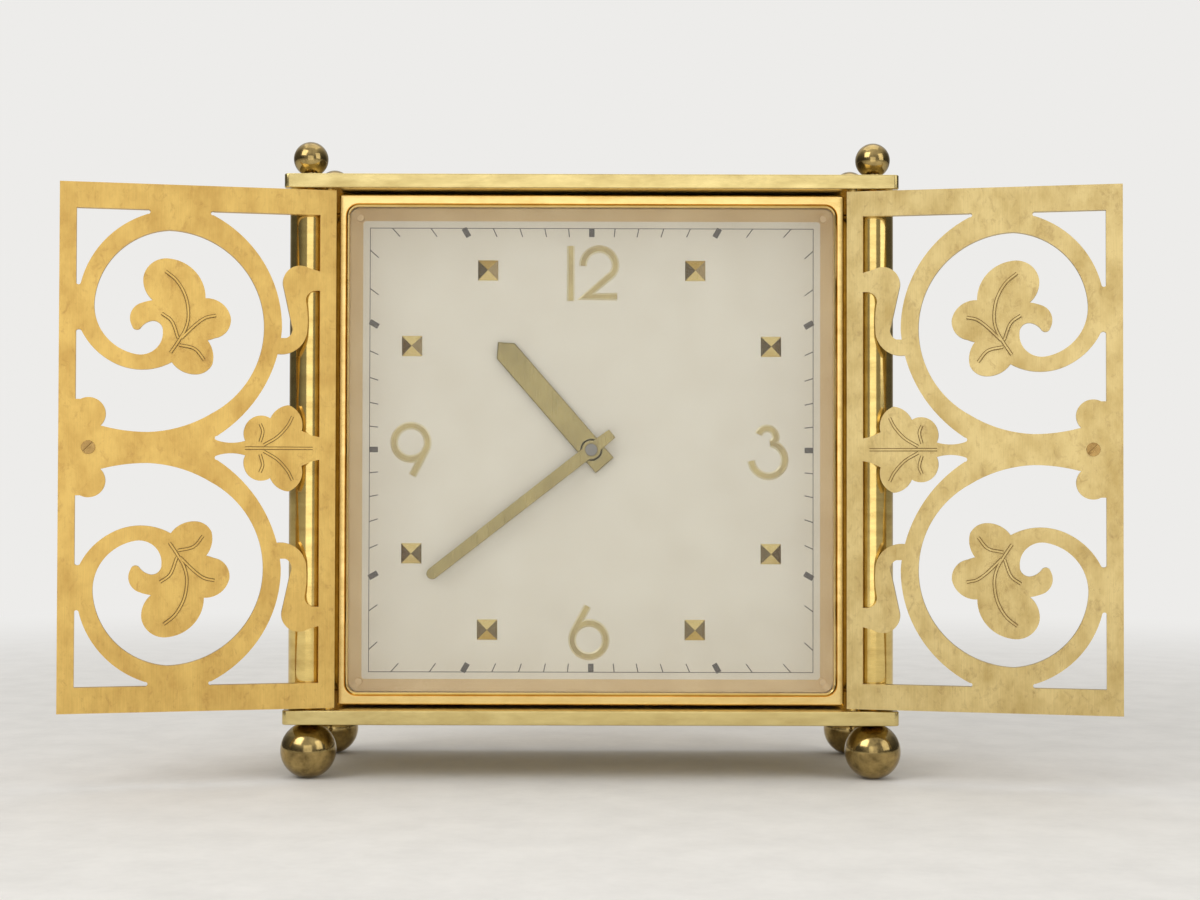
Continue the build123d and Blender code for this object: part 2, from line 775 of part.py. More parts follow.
# Pyramids at the hours between the numerals
with BuildPart() as hour_markers:
    for hour in range(12):
        if hour % 3:
            x, z = beside((0, 0), marker_circle, 90 - 30 * hour)
            with BuildSketch(facing(dial_front, x, z)) as base:
                Rectangle(marker_size, marker_size)
            with BuildSketch(facing(dial_front - marker_height, x, z)) as tip_face:
                Rectangle(marker_size / 50, marker_size / 50)
            loft([base.sketch.face(), tip_face.sketch.face()], ruled=True)
write(hour_markers.part, "hour_markers")

# Motion work behind the dial: cannon pinion, minute wheel and hour wheel
centre = (0.0, 0.0)
minute_distance = (minute_teeth + cannon_leaves) * minute_module / 2
minute_place = beside(centre, minute_distance, minute_direction)
setting_place = beside(minute_place, minute_distance, setting_direction)
cannon_phase = 0.0
minute_phase = meshed(cannon_phase, cannon_leaves, minute_teeth, minute_direction)
setting_phase = meshed(minute_phase, minute_teeth, cannon_leaves, setting_direction)
leaf_phase = 0.0
hour_phase = meshed(leaf_phase, minute_leaves, hour_teeth, minute_direction + 180)
gear_back = front_plate_y - 0.2
leaf_length = 1.4
leaf_front = gear_back - wheel_thickness - leaf_length
hour_wheel_back = gear_back - wheel_thickness - 0.3
hour_hand_back = dial_front - hour_hand_rise
minute_hand_back = dial_front - minute_hand_rise
pipe_radius = 1.2
hour_bore = pipe_radius + pivot_clearance
hour_pipe = 2.2
cannon_bore = 0.7

with BuildPart() as cannon_pinion:
    turned(centre, (minute_hand_back - hand_thickness - 0.3, gear_back, pipe_radius))
    toothed(centre, gear_back - 1.0, 1.0, cannon_leaves, minute_module, cannon_phase)
    bored(centre, dial_front, gear_back, cannon_bore + pivot_clearance)
write(cannon_pinion.part, "cannon_pinion")

with BuildPart() as minute_wheel:
    minute_wheel_front = gear_back - wheel_thickness
    toothed(
        minute_place, minute_wheel_front, wheel_thickness, minute_teeth, minute_module, minute_phase
    )
    toothed(minute_place, leaf_front, leaf_length, minute_leaves, hour_module, leaf_phase)
    bored(minute_place, leaf_front, gear_back, minute_stud_diameter / 2 + pivot_clearance)
write(minute_wheel.part, "minute_wheel")

with BuildPart() as hour_wheel:
    hour_wheel_front = hour_wheel_back - wheel_thickness
    toothed(centre, hour_wheel_front, wheel_thickness, hour_teeth, hour_module, hour_phase)
    turned(centre, (hour_hand_back - hand_thickness, hour_wheel_back, hour_pipe))
    bored(centre, hour_hand_back - hand_thickness, hour_wheel_back, hour_bore)
write(hour_wheel.part, "hour_wheel")

# Hands, each drawn pointing at twelve and turned to its place
with BuildPart() as hour_hand:
    with BuildSketch(facing(hour_hand_back, turn=-hour_angle)):
        with BuildLine():
            wide, waist = hour_hand_width / 2, hour_hand_waist / 2
            right = [(wide, -hour_hand_tail), (waist, 0), (wide, hour_hand_length - wide)]
            left = [(-x, y) for x, y in reversed(right)]
            Polyline(*right, (0, hour_hand_length), *left, close=True)
        make_face()
        Circle(hour_pipe + 0.3)
        Circle(hour_pipe, mode=Mode.SUBTRACT)
    extrude(amount=hand_thickness)
write(hour_hand.part, "hour_hand")

with BuildPart() as minute_hand:
    with BuildSketch(facing(minute_hand_back, turn=-minute_angle)):
        wide = minute_hand_width / 2
        with BuildLine():
            Polyline(
                (-wide, minute_hand_length - wide),
                (-wide * 1.1, 0),
                (-wide * 0.9, -minute_hand_tail),
                (wide * 0.9, -minute_hand_tail),
                (wide * 1.1, 0),
                (wide, minute_hand_length - wide),
            )
            ThreePointArc(
                (wide, minute_hand_length - wide),
                (0, minute_hand_length),
                (-wide, minute_hand_length - wide),
            )
        make_face()
        Circle(minute_hand_hub / 2)
        Circle(pipe_radius, mode=Mode.SUBTRACT)
    extrude(amount=hand_thickness)
write(minute_hand.part, "minute_hand")

# Places of the going train's arbors, and the phases that put them in mesh
first_distance = (first_teeth + centre_leaves) * first_module / 2
barrel_distance = (barrel_teeth + first_leaves) * barrel_module / 2
third_distance = (centre_teeth + third_leaves) * centre_module / 2
fourth_distance = (third_teeth + fourth_leaves) * third_module / 2
escape_distance = (fourth_teeth + escape_leaves) * fourth_module / 2
first_place = beside(centre, first_distance, first_direction)
barrel_place = beside(first_place, barrel_distance, barrel_direction)
third_place = beside(centre, third_distance, third_direction)
fourth_place = beside(third_place, fourth_distance, fourth_direction)
escape_place = beside(fourth_place, escape_distance, escape_direction)
fork_place = beside(escape_place, fork_distance, fork_direction)
balance_place = beside(fork_place, balance_distance, balance_direction)
centre_phase = 0.0
centre_leaf_phase = 0.0
first_phase = meshed(centre_leaf_phase, centre_leaves, first_teeth, first_direction)
first_leaf_phase = 0.0
barrel_phase = meshed(first_leaf_phase, first_leaves, barrel_teeth, barrel_direction)
third_leaf_phase = meshed(centre_phase, centre_teeth, third_leaves, third_direction)
third_phase = 0.0
fourth_leaf_phase = meshed(third_phase, third_teeth, fourth_leaves, fourth_direction)
fourth_phase = 0.0
escape_leaf_phase = meshed(fourth_phase, fourth_teeth, escape_leaves, escape_direction)

front_pivot = train_y - movement_plate_thickness
rear_pivot = back_plate_y + movement_plate_thickness
arbor_front = train_y + end_shake
arbor_rear = back_plate_y - end_shake
pivot_radius = pivot_diameter / 2
arbor_radius = arbor_diameter / 2


def arbor(place):
    turned(
        place,
        (front_pivot, arbor_front, pivot_radius),
        (arbor_front, arbor_rear, arbor_radius),
        (arbor_rear, rear_pivot, pivot_radius),
    )


def wheel_and_pinion(place, wheel, pinion, arms=4):
    """A crossed wheel and its pinion on their arbor, each given as level, length, teeth,
    module and phase."""
    level, length, teeth, module, phase = wheel
    toothed(place, train_y + level, length, teeth, module, phase)
    rim = (teeth / 2 - tooth_root) * module
    crossed(place, train_y + level, length, 0.28 * rim + 0.5, 0.84 * rim, arms)
    arbor(place)
    level, length, teeth, module, phase = pinion
    toothed(place, train_y + level, length, teeth, module, phase)


mesh_overlap = (pinion_length - wheel_thickness) / 2
with BuildPart() as centre_wheel:
    turned(
        centre,
        (dial_front + 0.3, front_pivot, cannon_bore),
        (front_pivot, arbor_front, cannon_bore),
    )
    wheel_and_pinion(
        centre,
        (centre_level, wheel_thickness, centre_teeth, centre_module, centre_phase),
        (first_level - 0.3, pinion_length - 0.6, centre_leaves, first_module, centre_leaf_phase),
    )
write(centre_wheel.part, "centre_wheel")

with BuildPart() as first_wheel:
    wheel_and_pinion(
        first_place,
        (first_level, wheel_thickness, first_teeth, first_module, first_phase),
        (
            barrel_level + drum_height - mesh_overlap,
            pinion_length,
            first_leaves,
            barrel_module,
            first_leaf_phase,
        ),
    )
write(first_wheel.part, "intermediate_wheel")

with BuildPart() as third_wheel:
    wheel_and_pinion(
        third_place,
        (third_level, wheel_thickness, third_teeth, third_module, third_phase),
        (centre_level - mesh_overlap, pinion_length, third_leaves, centre_module, third_leaf_phase),
    )
write(third_wheel.part, "third_wheel")

with BuildPart() as fourth_wheel:
    wheel_and_pinion(
        fourth_place,
        (fourth_level, wheel_thickness, fourth_teeth, fourth_module, fourth_phase),
        (third_level - mesh_overlap, pinion_length, fourth_leaves, third_module, fourth_leaf_phase),
    )
write(fourth_wheel.part, "fourth_wheel")

# Escape wheel, whose pointed teeth lean the way it turns
escape_pitch = 2 * pi / escape_teeth
escape_tip = escape_diameter / 2
escape_root = 0.72 * escape_tip
with BuildPart() as escape_wheel:
    escape_outline = [
        polar(radius, (tooth + share) * escape_pitch)
        for tooth in range(escape_teeth)
        for radius, share in (
            (0.96 * escape_tip, -0.16),
            (escape_tip, 0),
            (escape_root, -0.04),
            (escape_root, 0.55),
        )
    ]
    plate_cut(escape_place, train_y + escape_level, wheel_thickness, escape_outline)
    crossed(escape_place, train_y + escape_level, wheel_thickness, 1.0, 0.8 * escape_root, 4)
    arbor(escape_place)
    toothed(
        escape_place,
        train_y + fourth_level - mesh_overlap,
        pinion_length,
        escape_leaves,
        fourth_module,
        escape_leaf_phase,
    )
write(escape_wheel.part, "escape_wheel")

# Pallet fork: its arms stop short of the escape wheel, its horns short of the balance pin
fork_half = [
    (3.15, 2.7),
    (3.95, 2.45),
    (3.5, 0.6),
    (fork_reach - 1.5, 0.35),
    (fork_reach - 0.9, 0.9),
    (fork_reach, 0.9),
    (fork_reach, fork_slot / 2),
    (fork_reach - 0.7, fork_slot / 2),
]
fork_other = [(u, -v) for u, v in reversed(fork_half[3:])]
fork_tail = [(1.0, -0.9), (-1.0, -0.9), (-3.3, 0.6), (-3.95, 2.45), (-3.15, 2.7), (-2.4, 1.2)]
fork_turn = fork_direction + 90
with BuildPart() as pallet_fork:
    with BuildSketch(
        facing(train_y + escape_level + wheel_thickness, *fork_place, fork_turn)
    ) as fork_shape:
        with BuildLine():
            Polyline(*fork_half, *fork_other, *fork_tail, (0, 0.8), (2.4, 1.2), close=True)
        make_face()
    extrude(fork_shape.sketch, amount=wheel_thickness)
    arbor(fork_place)
write(pallet_fork.part, "pallet_fork")

# Balance in the window of the back plate, carried by the front plate and the cock
balance_front = back_plate_y + balance_sink
cock_front = back_plate_rear + cock_rise
cock_back = cock_front + cock_thickness
roller_front = train_y + escape_level + wheel_thickness + 0.3
balance_radius = balance_diameter / 2
with BuildPart() as balance_wheel:
    turned(
        balance_place,
        (front_pivot, arbor_front, pivot_radius),
        (arbor_front, cock_front - end_shake, arbor_radius),
        (cock_front - end_shake, cock_back, pivot_radius),
        (balance_front, balance_front + balance_thickness, balance_radius),
        (roller_front, roller_front + 0.5, roller_radius),
    )
    crossed(
        balance_place,
        balance_front,
        balance_thickness,
        1.2,
        balance_radius - balance_rim,
        2,
    )
    pin_place = beside(balance_place, roller_radius - 0.4, balance_direction + 180)
    turned(pin_place, (train_y + escape_level + 0.2, roller_front, impulse_pin_diameter / 2))
write(balance_wheel.part, "balance_wheel")

spring_front = balance_front + balance_thickness + 0.3
spring_height = cock_front - 0.3 - spring_front
collet_radius = 0.95
with BuildPart() as hairspring:
    turned(balance_place, (spring_front, spring_front + spring_height, collet_radius))
    spiral(
        balance_place,
        spring_front,
        spring_height,
        collet_radius - hairspring_width / 2,
        hairspring_turns,
        hairspring_pitch,
        hairspring_width,
    )
    bored(balance_place, spring_front, spring_front + spring_height, arbor_radius)
write(hairspring.part, "hairspring")
spring_reach = collet_radius + hairspring_turns * hairspring_pitch + hairspring_width

# Balance cock on the back plate, with the stud of the spring and a boss for the regulator
cock_foot = beside(balance_place, cock_reach, cock_direction)
boss_radius = 1.2
with BuildPart() as balance_cock:
    with BuildSketch(facing(cock_back, *balance_place, cock_direction)) as arm:
        with BuildLine():
            half, nose = cock_width / 2, 2.2
            Polyline((0, -nose), (cock_reach, -half), (cock_reach + half, -half))
            Polyline((cock_reach + half, -half), (cock_reach + half, half))
            Polyline((cock_reach + half, half), (cock_reach, half), (0, nose))
            ThreePointArc((0, nose), (-nose, 0), (0, -nose))
        make_face()
    extrude(arm.sketch, amount=cock_thickness)
    with BuildSketch(facing(cock_front, *cock_foot, cock_direction)) as foot:
        Rectangle(cock_width, cock_width)
    extrude(foot.sketch, amount=cock_rise)
    turned(balance_place, (cock_back, cock_back + regulator_thickness + 0.2, boss_radius))
    stud_place = beside(balance_place, spring_reach + 0.8, cock_direction)
    turned(stud_place, (spring_front, cock_front, 0.3))
    bored(balance_place, cock_front, cock_back, pivot_radius + pivot_clearance)
    bored(cock_foot, back_plate_rear, cock_back, pillar_screw_diameter / 2 + stud_clearance)
write(balance_cock.part, "balance_cock")

with BuildPart() as regulator_lever:
    ring = boss_radius + pivot_clearance
    start = cock_back + 0.1
    turned(balance_place, (start, start + regulator_thickness, ring + 1.0))
    plate_cut(
        balance_place,
        start,
        regulator_thickness,
        [(-1.0, 0), (-0.4, regulator_length), (0.4, regulator_length), (1.0, 0)],
    )
    bored(balance_place, start, start + regulator_thickness, ring)
    curb_place = beside(balance_place, spring_reach + 0.5, 90)
    turned(curb_place, (spring_front, start, 0.2))
write(regulator_lever.part, "regulator_lever")

# Barrel with its great wheel, spring, cover and arbor
drum_front = train_y + barrel_level
drum_back = drum_front + drum_height
drum_radius = drum_diameter / 2
drum_bore = drum_radius - drum_wall
shaft_radius = barrel_arbor_diameter / 2
shaft_hole = shaft_radius + pivot_clearance
with BuildPart() as barrel:
    toothed(
        barrel_place,
        drum_back,
        great_wheel_thickness,
        barrel_teeth,
        barrel_module,
        barrel_phase,
    )
    turned(barrel_place, (drum_front, drum_back, drum_radius))
    bored(barrel_place, drum_front + drum_wall, drum_back + great_wheel_thickness, drum_bore)
    bored(barrel_place, drum_front, drum_front + drum_wall, shaft_hole)
write(barrel.part, "barrel")

barrel_cover_back = drum_back + great_wheel_thickness - 0.1
with BuildPart() as barrel_cover:
    cover_front = barrel_cover_back - drum_wall
    turned(barrel_place, (cover_front, barrel_cover_back, drum_bore - pivot_clearance))
    bored(barrel_place, cover_front, barrel_cover_back, shaft_hole)
write(barrel_cover.part, "barrel_cover")

with BuildPart() as mainspring:
    mainspring_front = drum_front + drum_wall + fit_clearance
    mainspring_height = barrel_cover_back - drum_wall - fit_clearance - mainspring_front
    spiral(
        barrel_place,
        mainspring_front,
        mainspring_height,
        drum_bore - mainspring_width - mainspring_turns * mainspring_pitch - fit_clearance,
        mainspring_turns,
        mainspring_pitch,
        mainspring_width,
    )
write(mainspring.part, "mainspring")

key_front = cover_back + key_gap
key_socket = key_front + key_seat
with BuildPart() as barrel_arbor:
    turned(
        barrel_place,
        (front_pivot, key_socket - fit_clearance, shaft_radius),
        (drum_front + drum_wall + 0.3, cover_front - 0.3, core_radius),
    )
write(barrel_arbor.part, "barrel_arbor")

# Ratchet on the barrel arbor, with its click and spring on the back plate
ratchet_front = back_plate_rear + 0.2
ratchet_pitch = 2 * pi / ratchet_teeth
ratchet_tip = ratchet_diameter / 2
with BuildPart() as ratchet_wheel:
    ratchet_outline = [
        polar(radius, (tooth + share) * ratchet_pitch)
        for tooth in range(ratchet_teeth)
        for radius, share in ((ratchet_tip, 0), (0.82 * ratchet_tip, 0.08))
    ]
    plate_cut(barrel_place, ratchet_front, ratchet_thickness, ratchet_outline)
    bored(barrel_place, ratchet_front, ratchet_front + ratchet_thickness, shaft_radius)
write(ratchet_wheel.part, "ratchet_wheel")

click_distance = ratchet_tip + 3.5
click_place = beside(barrel_place, click_distance, click_direction)
click_plane = facing(ratchet_front + ratchet_thickness, *click_place, click_direction + 90)
click_end = ratchet_tip + click_gap + 0.1
click_tip = (-3.9, click_distance - sqrt(click_end**2 - 3.9**2))
click_heel = (click_tip[0] - 0.8, click_tip[1] - 0.4)
with BuildPart() as click:
    with BuildSketch(click_plane) as click_shape:
        with BuildLine():
            Polyline(click_tip, click_heel, (-1.5, 0), (1.5, 0), close=True)
        make_face()
        Circle(1.5)
        Circle(click_stud_diameter / 2 + pivot_clearance, mode=Mode.SUBTRACT)
    extrude(click_shape.sketch, amount=ratchet_thickness)
write(click.part, "click")

spring_foot = (-7.5, -1.5)
with BuildPart() as click_spring:
    with BuildSketch(click_plane) as spring_shape:
        with BuildLine():
            Polyline(
                (click_heel[0] - 0.9, click_heel[1] - 0.2),
                (click_heel[0] - 1.3, click_heel[1] - 0.2),
                (spring_foot[0] - 0.4, spring_foot[1]),
                (spring_foot[0] + 0.2, spring_foot[1]),
                close=True,
            )
        make_face()
        with Locations(spring_foot):
            Circle(1.2)
    extrude(spring_shape.sketch, amount=ratchet_thickness)
    with BuildSketch(click_plane.offset(ratchet_thickness)) as spring_pin:
        with Locations(spring_foot):
            Circle(click_spring_pin / 2)
    extrude(spring_pin.sketch, amount=ratchet_front - back_plate_y)
write(click_spring.part, "click_spring")

# Movement plates with the holes of every arbor, and the pillars between them
pillar_places = [beside(centre, pillar_circle, angle) for angle in (45, 135, 225, 315)]
screw_hole = pillar_screw_diameter / 2 + stud_clearance
setting_radius = setting_shaft_diameter / 2
setting_hole = setting_radius + pivot_clearance
train_places = [first_place, third_place, fourth_place, escape_place, fork_place]
with BuildPart() as movement_front_plate:
    turned(centre, (front_plate_y, train_y, movement_plate_diameter / 2))
    for place, radius in (
        (centre, cannon_bore + pivot_clearance),
        (barrel_place, shaft_hole),
        (setting_place, setting_hole),
        *((place, pivot_radius + pivot_clearance) for place in (*train_places, balance_place)),
        *((place, screw_hole) for place in pillar_places),
        *((place, dial_foot_spigot / 2) for place in foot_places),
    ):
        bored(place, front_plate_y, train_y, radius)
    turned(
        minute_place,
        (leaf_front - 0.2, front_plate_y, minute_stud_diameter / 2),
    )
write(movement_front_plate.part, "movement_front_plate")

with BuildPart() as movement_back_plate:
    turned(centre, (back_plate_y, back_plate_rear, movement_plate_diameter / 2))
    for place, radius in (
        (barrel_place, shaft_hole),
        (setting_place, setting_hole),
        (balance_place, balance_radius + balance_window_gap),
        (cock_foot, pillar_screw_diameter / 2),
        *((place, pivot_radius + pivot_clearance) for place in (centre, *train_places)),
        *((place, screw_hole) for place in pillar_places),
    ):
        bored(place, back_plate_y, back_plate_rear, radius)
    with BuildSketch(click_plane.offset(ratchet_front + ratchet_thickness - back_plate_y)) as hole:
        with Locations(spring_foot):
            Circle(click_spring_pin / 2)
    extrude(hole.sketch, amount=-movement_plate_thickness, mode=Mode.SUBTRACT)
    turned(
        click_place,
        (back_plate_rear, ratchet_front + ratchet_thickness + 0.3, click_stud_diameter / 2),
    )
write(movement_back_plate.part, "movement_back_plate")

pillar_tap = 5.0
with BuildPart() as movement_pillars:
    for place in pillar_places:
        turned(place, (train_y, back_plate_y, pillar_diameter / 2))
        bored(place, train_y, train_y + pillar_tap, screw_hole)
        bored(place, back_plate_y - pillar_tap, back_plate_y, screw_hole)
write(movement_pillars.part, "movement_pillars")

with BuildPart() as movement_screws:
    shank = pillar_screw_diameter / 2
    head = pillar_screw_head / 2
    for place in pillar_places:
        turned(
            place,
            (front_plate_y - pillar_screw_head_height, front_plate_y, head),
            (front_plate_y, train_y + pillar_tap - 0.5, shank),
        )
        turned(
            place,
            (back_plate_y - pillar_tap + 0.5, back_plate_rear, shank),
            (back_plate_rear, back_plate_rear + pillar_screw_head_height, head),
        )
    turned(
        cock_foot,
        (back_plate_y, cock_back, shank),
        (cock_back, cock_back + pillar_screw_head_height, head),
    )
write(movement_screws.part, "movement_screws")

# Setting arbor from the minute wheel to a knob at the back
knob_front = cover_back + setting_knob_gap
with BuildPart() as setting_arbor:
    toothed(setting_place, gear_back - 1.0, 1.0, cannon_leaves, minute_module, setting_phase)
    turned(setting_place, (gear_back - 1.5, knob_front + setting_knob_length - 1.0, setting_radius))
write(setting_arbor.part, "setting_arbor")

with BuildPart() as setting_knob:
    turned(setting_place, (knob_front, knob_front + setting_knob_length, setting_knob_diameter / 2))
    chamfer(setting_knob.edges().filter_by(GeomType.CIRCLE), 0.5)
    bored(setting_place, knob_front, knob_front + setting_knob_length - 1.0, setting_radius)
write(setting_knob.part, "setting_knob")

# Winding key with two pierced wings
key_end = cover_back + winding_key_reach
wing_start = key_end - winding_key_height
key_radius = winding_shaft_diameter / 2
wing_radius = winding_key_height / 2
wing_x = winding_key_width / 2 - wing_radius
with BuildPart() as winding_key:
    turned(barrel_place, (key_front, wing_start + wing_radius, key_radius))
    with BuildSketch(
        Plane(
            origin=(barrel_place[0], wing_start + wing_radius, dial_z + barrel_place[1]),
            x_dir=(1, 0, 0),
            z_dir=(0, 0, 1),
        )
    ) as wings:
        with Locations((-wing_x, 0), (wing_x, 0)):
            Circle(wing_radius)
        Rectangle(2 * wing_x, wing_radius)
        with Locations((-wing_x, 0), (wing_x, 0)):
            Circle(wing_radius / 2, mode=Mode.SUBTRACT)
    extrude(wings.sketch, amount=winding_key_thickness / 2, both=True)
    bored(barrel_place, key_front, key_socket, shaft_radius)
write(winding_key.part, "winding_key")

# Rear cover with holes for the key and the setting arbor, and a slot for the regulator
with BuildPart() as rear_cover:
    with BuildSketch(facing(cover_back)):
        Rectangle(case_width, case_height)
        with Locations(*screw_places):
            Circle(post_screw_diameter / 2 + stud_clearance, mode=Mode.SUBTRACT)
        with Locations(barrel_place):
            Circle(shaft_radius + 0.5, mode=Mode.SUBTRACT)
        with Locations(setting_place):
            Circle(setting_radius + 0.5, mode=Mode.SUBTRACT)
        with Locations((balance_place[0], balance_place[1] + regulator_length)):
            SlotOverall(10.0, 2.4, mode=Mode.SUBTRACT)
    extrude(amount=cover_thickness)
write(rear_cover.part, "rear_cover")

with BuildPart() as cover_screws:
    for place in screw_places:
        turned(
            place,
            (case_back - post_screw_length, cover_back, post_screw_diameter / 2),
            (cover_back, cover_back + cover_screw_head_height, cover_screw_head / 2),
        )
write(cover_screws.part, "cover_screws")
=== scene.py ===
# Square brass desk clock with two pierced scroll doors.
# Everything is in metres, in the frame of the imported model.
import json
from math import atan2, cos, pi, radians, sin, sqrt

import bmesh
import bpy
from mathutils import Euler, Matrix, Vector


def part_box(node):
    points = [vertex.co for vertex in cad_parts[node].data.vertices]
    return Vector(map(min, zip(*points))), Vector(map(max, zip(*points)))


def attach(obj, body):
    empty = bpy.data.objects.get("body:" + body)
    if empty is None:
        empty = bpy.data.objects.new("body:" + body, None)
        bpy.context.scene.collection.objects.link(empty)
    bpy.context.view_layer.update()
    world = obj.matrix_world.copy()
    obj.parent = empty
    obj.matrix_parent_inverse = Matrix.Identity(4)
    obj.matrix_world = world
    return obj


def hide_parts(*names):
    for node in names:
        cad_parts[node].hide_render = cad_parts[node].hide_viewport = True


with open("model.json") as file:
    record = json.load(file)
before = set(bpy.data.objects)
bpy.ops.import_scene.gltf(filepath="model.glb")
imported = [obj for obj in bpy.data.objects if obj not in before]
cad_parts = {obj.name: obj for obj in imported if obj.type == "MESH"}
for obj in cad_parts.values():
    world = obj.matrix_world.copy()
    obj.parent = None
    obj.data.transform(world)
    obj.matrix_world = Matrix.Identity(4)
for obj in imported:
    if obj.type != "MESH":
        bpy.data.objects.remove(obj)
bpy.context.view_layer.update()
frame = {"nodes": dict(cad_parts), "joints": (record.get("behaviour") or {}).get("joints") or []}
scene = bpy.context.scene
mm = 0.001

# Signs of a rectangle's corners, counterclockwise
corners = ((1, 1), (-1, 1), (-1, -1), (1, -1))

# Places read from the frame
plateLow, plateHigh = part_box("bottom_plate")
topLow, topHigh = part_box("top_plate")
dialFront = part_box("dial")[0][1]

# Silvered face sheet that lies on the dial and carries the printed track, in mm
dialFace = {"width": 96.8, "hole": 2.75, "thickness": 0.012}
dialCentre = Vector((0.0, dialFront - dialFace["thickness"] * mm, (plateHigh[2] + topLow[2]) / 2))
joints = {joint["name"]: joint for joint in frame["joints"]}


def jointPlace(name):
    return Vector(joints[name]["pos_m"])


# Colours are written as sRGB hex and turned to linear here
def colour(text):
    parts = [int(text[i:i + 2], 16) / 255 for i in (1, 3, 5)]
    linear = [c / 12.92 if c <= 0.04045 else ((c + 0.055) / 1.055) ** 2.4 for c in parts]
    return (*linear, 1.0)


def addNode(tree, kind, settings=None, values=None, links=None):
    # values fill the node's own sockets, and links join them to other nodes' outputs
    node = tree.nodes.new(kind)
    for key, value in (settings or {}).items():
        setattr(node, key, value)
    for key, value in (values or {}).items():
        node.inputs[key].default_value = value
    for key, source in (links or {}).items():
        tree.links.new(source, node.inputs[key])
    return node


def newMaterial(name):
    material = bpy.data.materials.new(name)
    material.use_nodes = True
    return material, material.node_tree, material.node_tree.nodes["Principled BSDF"]


def ramp(tree, source, stops):
    # stops are (place, hex colour or linear colour)
    node = addNode(tree, "ShaderNodeValToRGB", links={"Fac": source})
    stops = [(spot, colour(shade) if isinstance(shade, str) else shade) for spot, shade in stops]
    first, last = node.color_ramp.elements
    first.position, first.color = stops[0]
    last.position, last.color = stops[-1]
    for spot, shade in stops[1:-1]:
        node.color_ramp.elements.new(spot).color = shade
    return node.outputs["Color"]


def noise(tree, sizes, detail, roughness=0.5, distortion=0.0):
    # Noise in Object coordinates, with grains of the given sizes in mm along X, Y and Z
    spot = addNode(tree, "ShaderNodeTexCoord")
    scaled = addNode(
        tree, "ShaderNodeMapping", values={"Scale": tuple(1 / (size * mm) for size in sizes)},
        links={"Vector": spot.outputs["Object"]},
    )
    pattern = addNode(
        tree, "ShaderNodeTexNoise",
        values={"Scale": 1.0, "Detail": detail, "Roughness": roughness, "Distortion": distortion},
        links={"Vector": scaled.outputs["Vector"]},
    )
    return pattern.outputs["Fac"]


def spread(tree, source, start, target, smooth=False):
    # The range start of source becomes the range target
    node = addNode(
        tree, "ShaderNodeMapRange", {"interpolation_type": "SMOOTHSTEP" if smooth else "LINEAR"},
        {"From Min": start[0], "From Max": start[1], "To Min": target[0], "To Max": target[1]},
        {"Value": source},
    )
    return node.outputs["Result"]


def finished(material, tree, shader, metallic, shade, rough, height, relief):
    # rough is a number or a pattern, and height the pattern that stands out by relief
    bump = addNode(
        tree, "ShaderNodeBump", values={"Strength": relief, "Distance": grainDepth * mm},
        links={"Height": height},
    )
    shader.inputs["Metallic"].default_value = metallic
    if isinstance(rough, float):
        shader.inputs["Roughness"].default_value = rough
    else:
        tree.links.new(rough, shader.inputs["Roughness"])
    tree.links.new(shade, shader.inputs["Base Color"])
    tree.links.new(bump.outputs["Normal"], shader.inputs["Normal"])
    return material


# Depth in mm that a bump of full strength stands for
grainDepth = 0.02

# The noise rows below are (grain sizes in mm, detail, roughness, distortion)

# Polished brass: mirror finish with hairline scratches and a faint warm haze from handling
polish = {
    "haze": ((7.0, 7.0, 2.4), 5.0, 0.6), "below": 0.16, "above": 0.2,
    "scratch": ((9.0, 0.5, 0.25), 2.0), "relief": 0.025,
    "range": (0.2, 0.8), "dullRough": 1.25, "brightRough": 0.85,
}


def polishedBrass(name, bright, dull, roughness=0.12, grime=0.4):
    material, tree, shader = newMaterial(name)
    haze = noise(tree, *polish["haze"])
    stops = [(grime - polish["below"], dull), (grime + polish["above"], bright), (1.0, bright)]
    rough = (roughness * polish["dullRough"], roughness * polish["brightRough"])
    return finished(
        material, tree, shader, 1.0, ramp(tree, haze, stops), spread(tree, haze, polish["range"], rough),
        noise(tree, *polish["scratch"]), polish["relief"],
    )


# Brushed sheet brass: upright brushing lines, softer reflections, and brown patina spots
brush = {
    "line": ((0.16, 0.16, 7.0), 3.0, 0.7), "lineStops": ((0.3, "#C9C3B6"), (0.65, "#FFFFFF")),
    "lineShare": 0.3, "cloud": ((5.0, 5.0, 8.0), 4.0, 0.65), "cloudStops": (0.3, 0.62),
    "spot": ((1.7, 1.7, 2.6), 6.0, 0.75, 0.6), "spotFrom": 0.6, "spotSpread": 0.16, "spotTo": 0.78,
    "spotLift": 0.25, "range": (0.25, 0.75), "smoother": 0.08, "rougher": 0.12,
    "metallic": 0.92, "relief": 0.07,
}


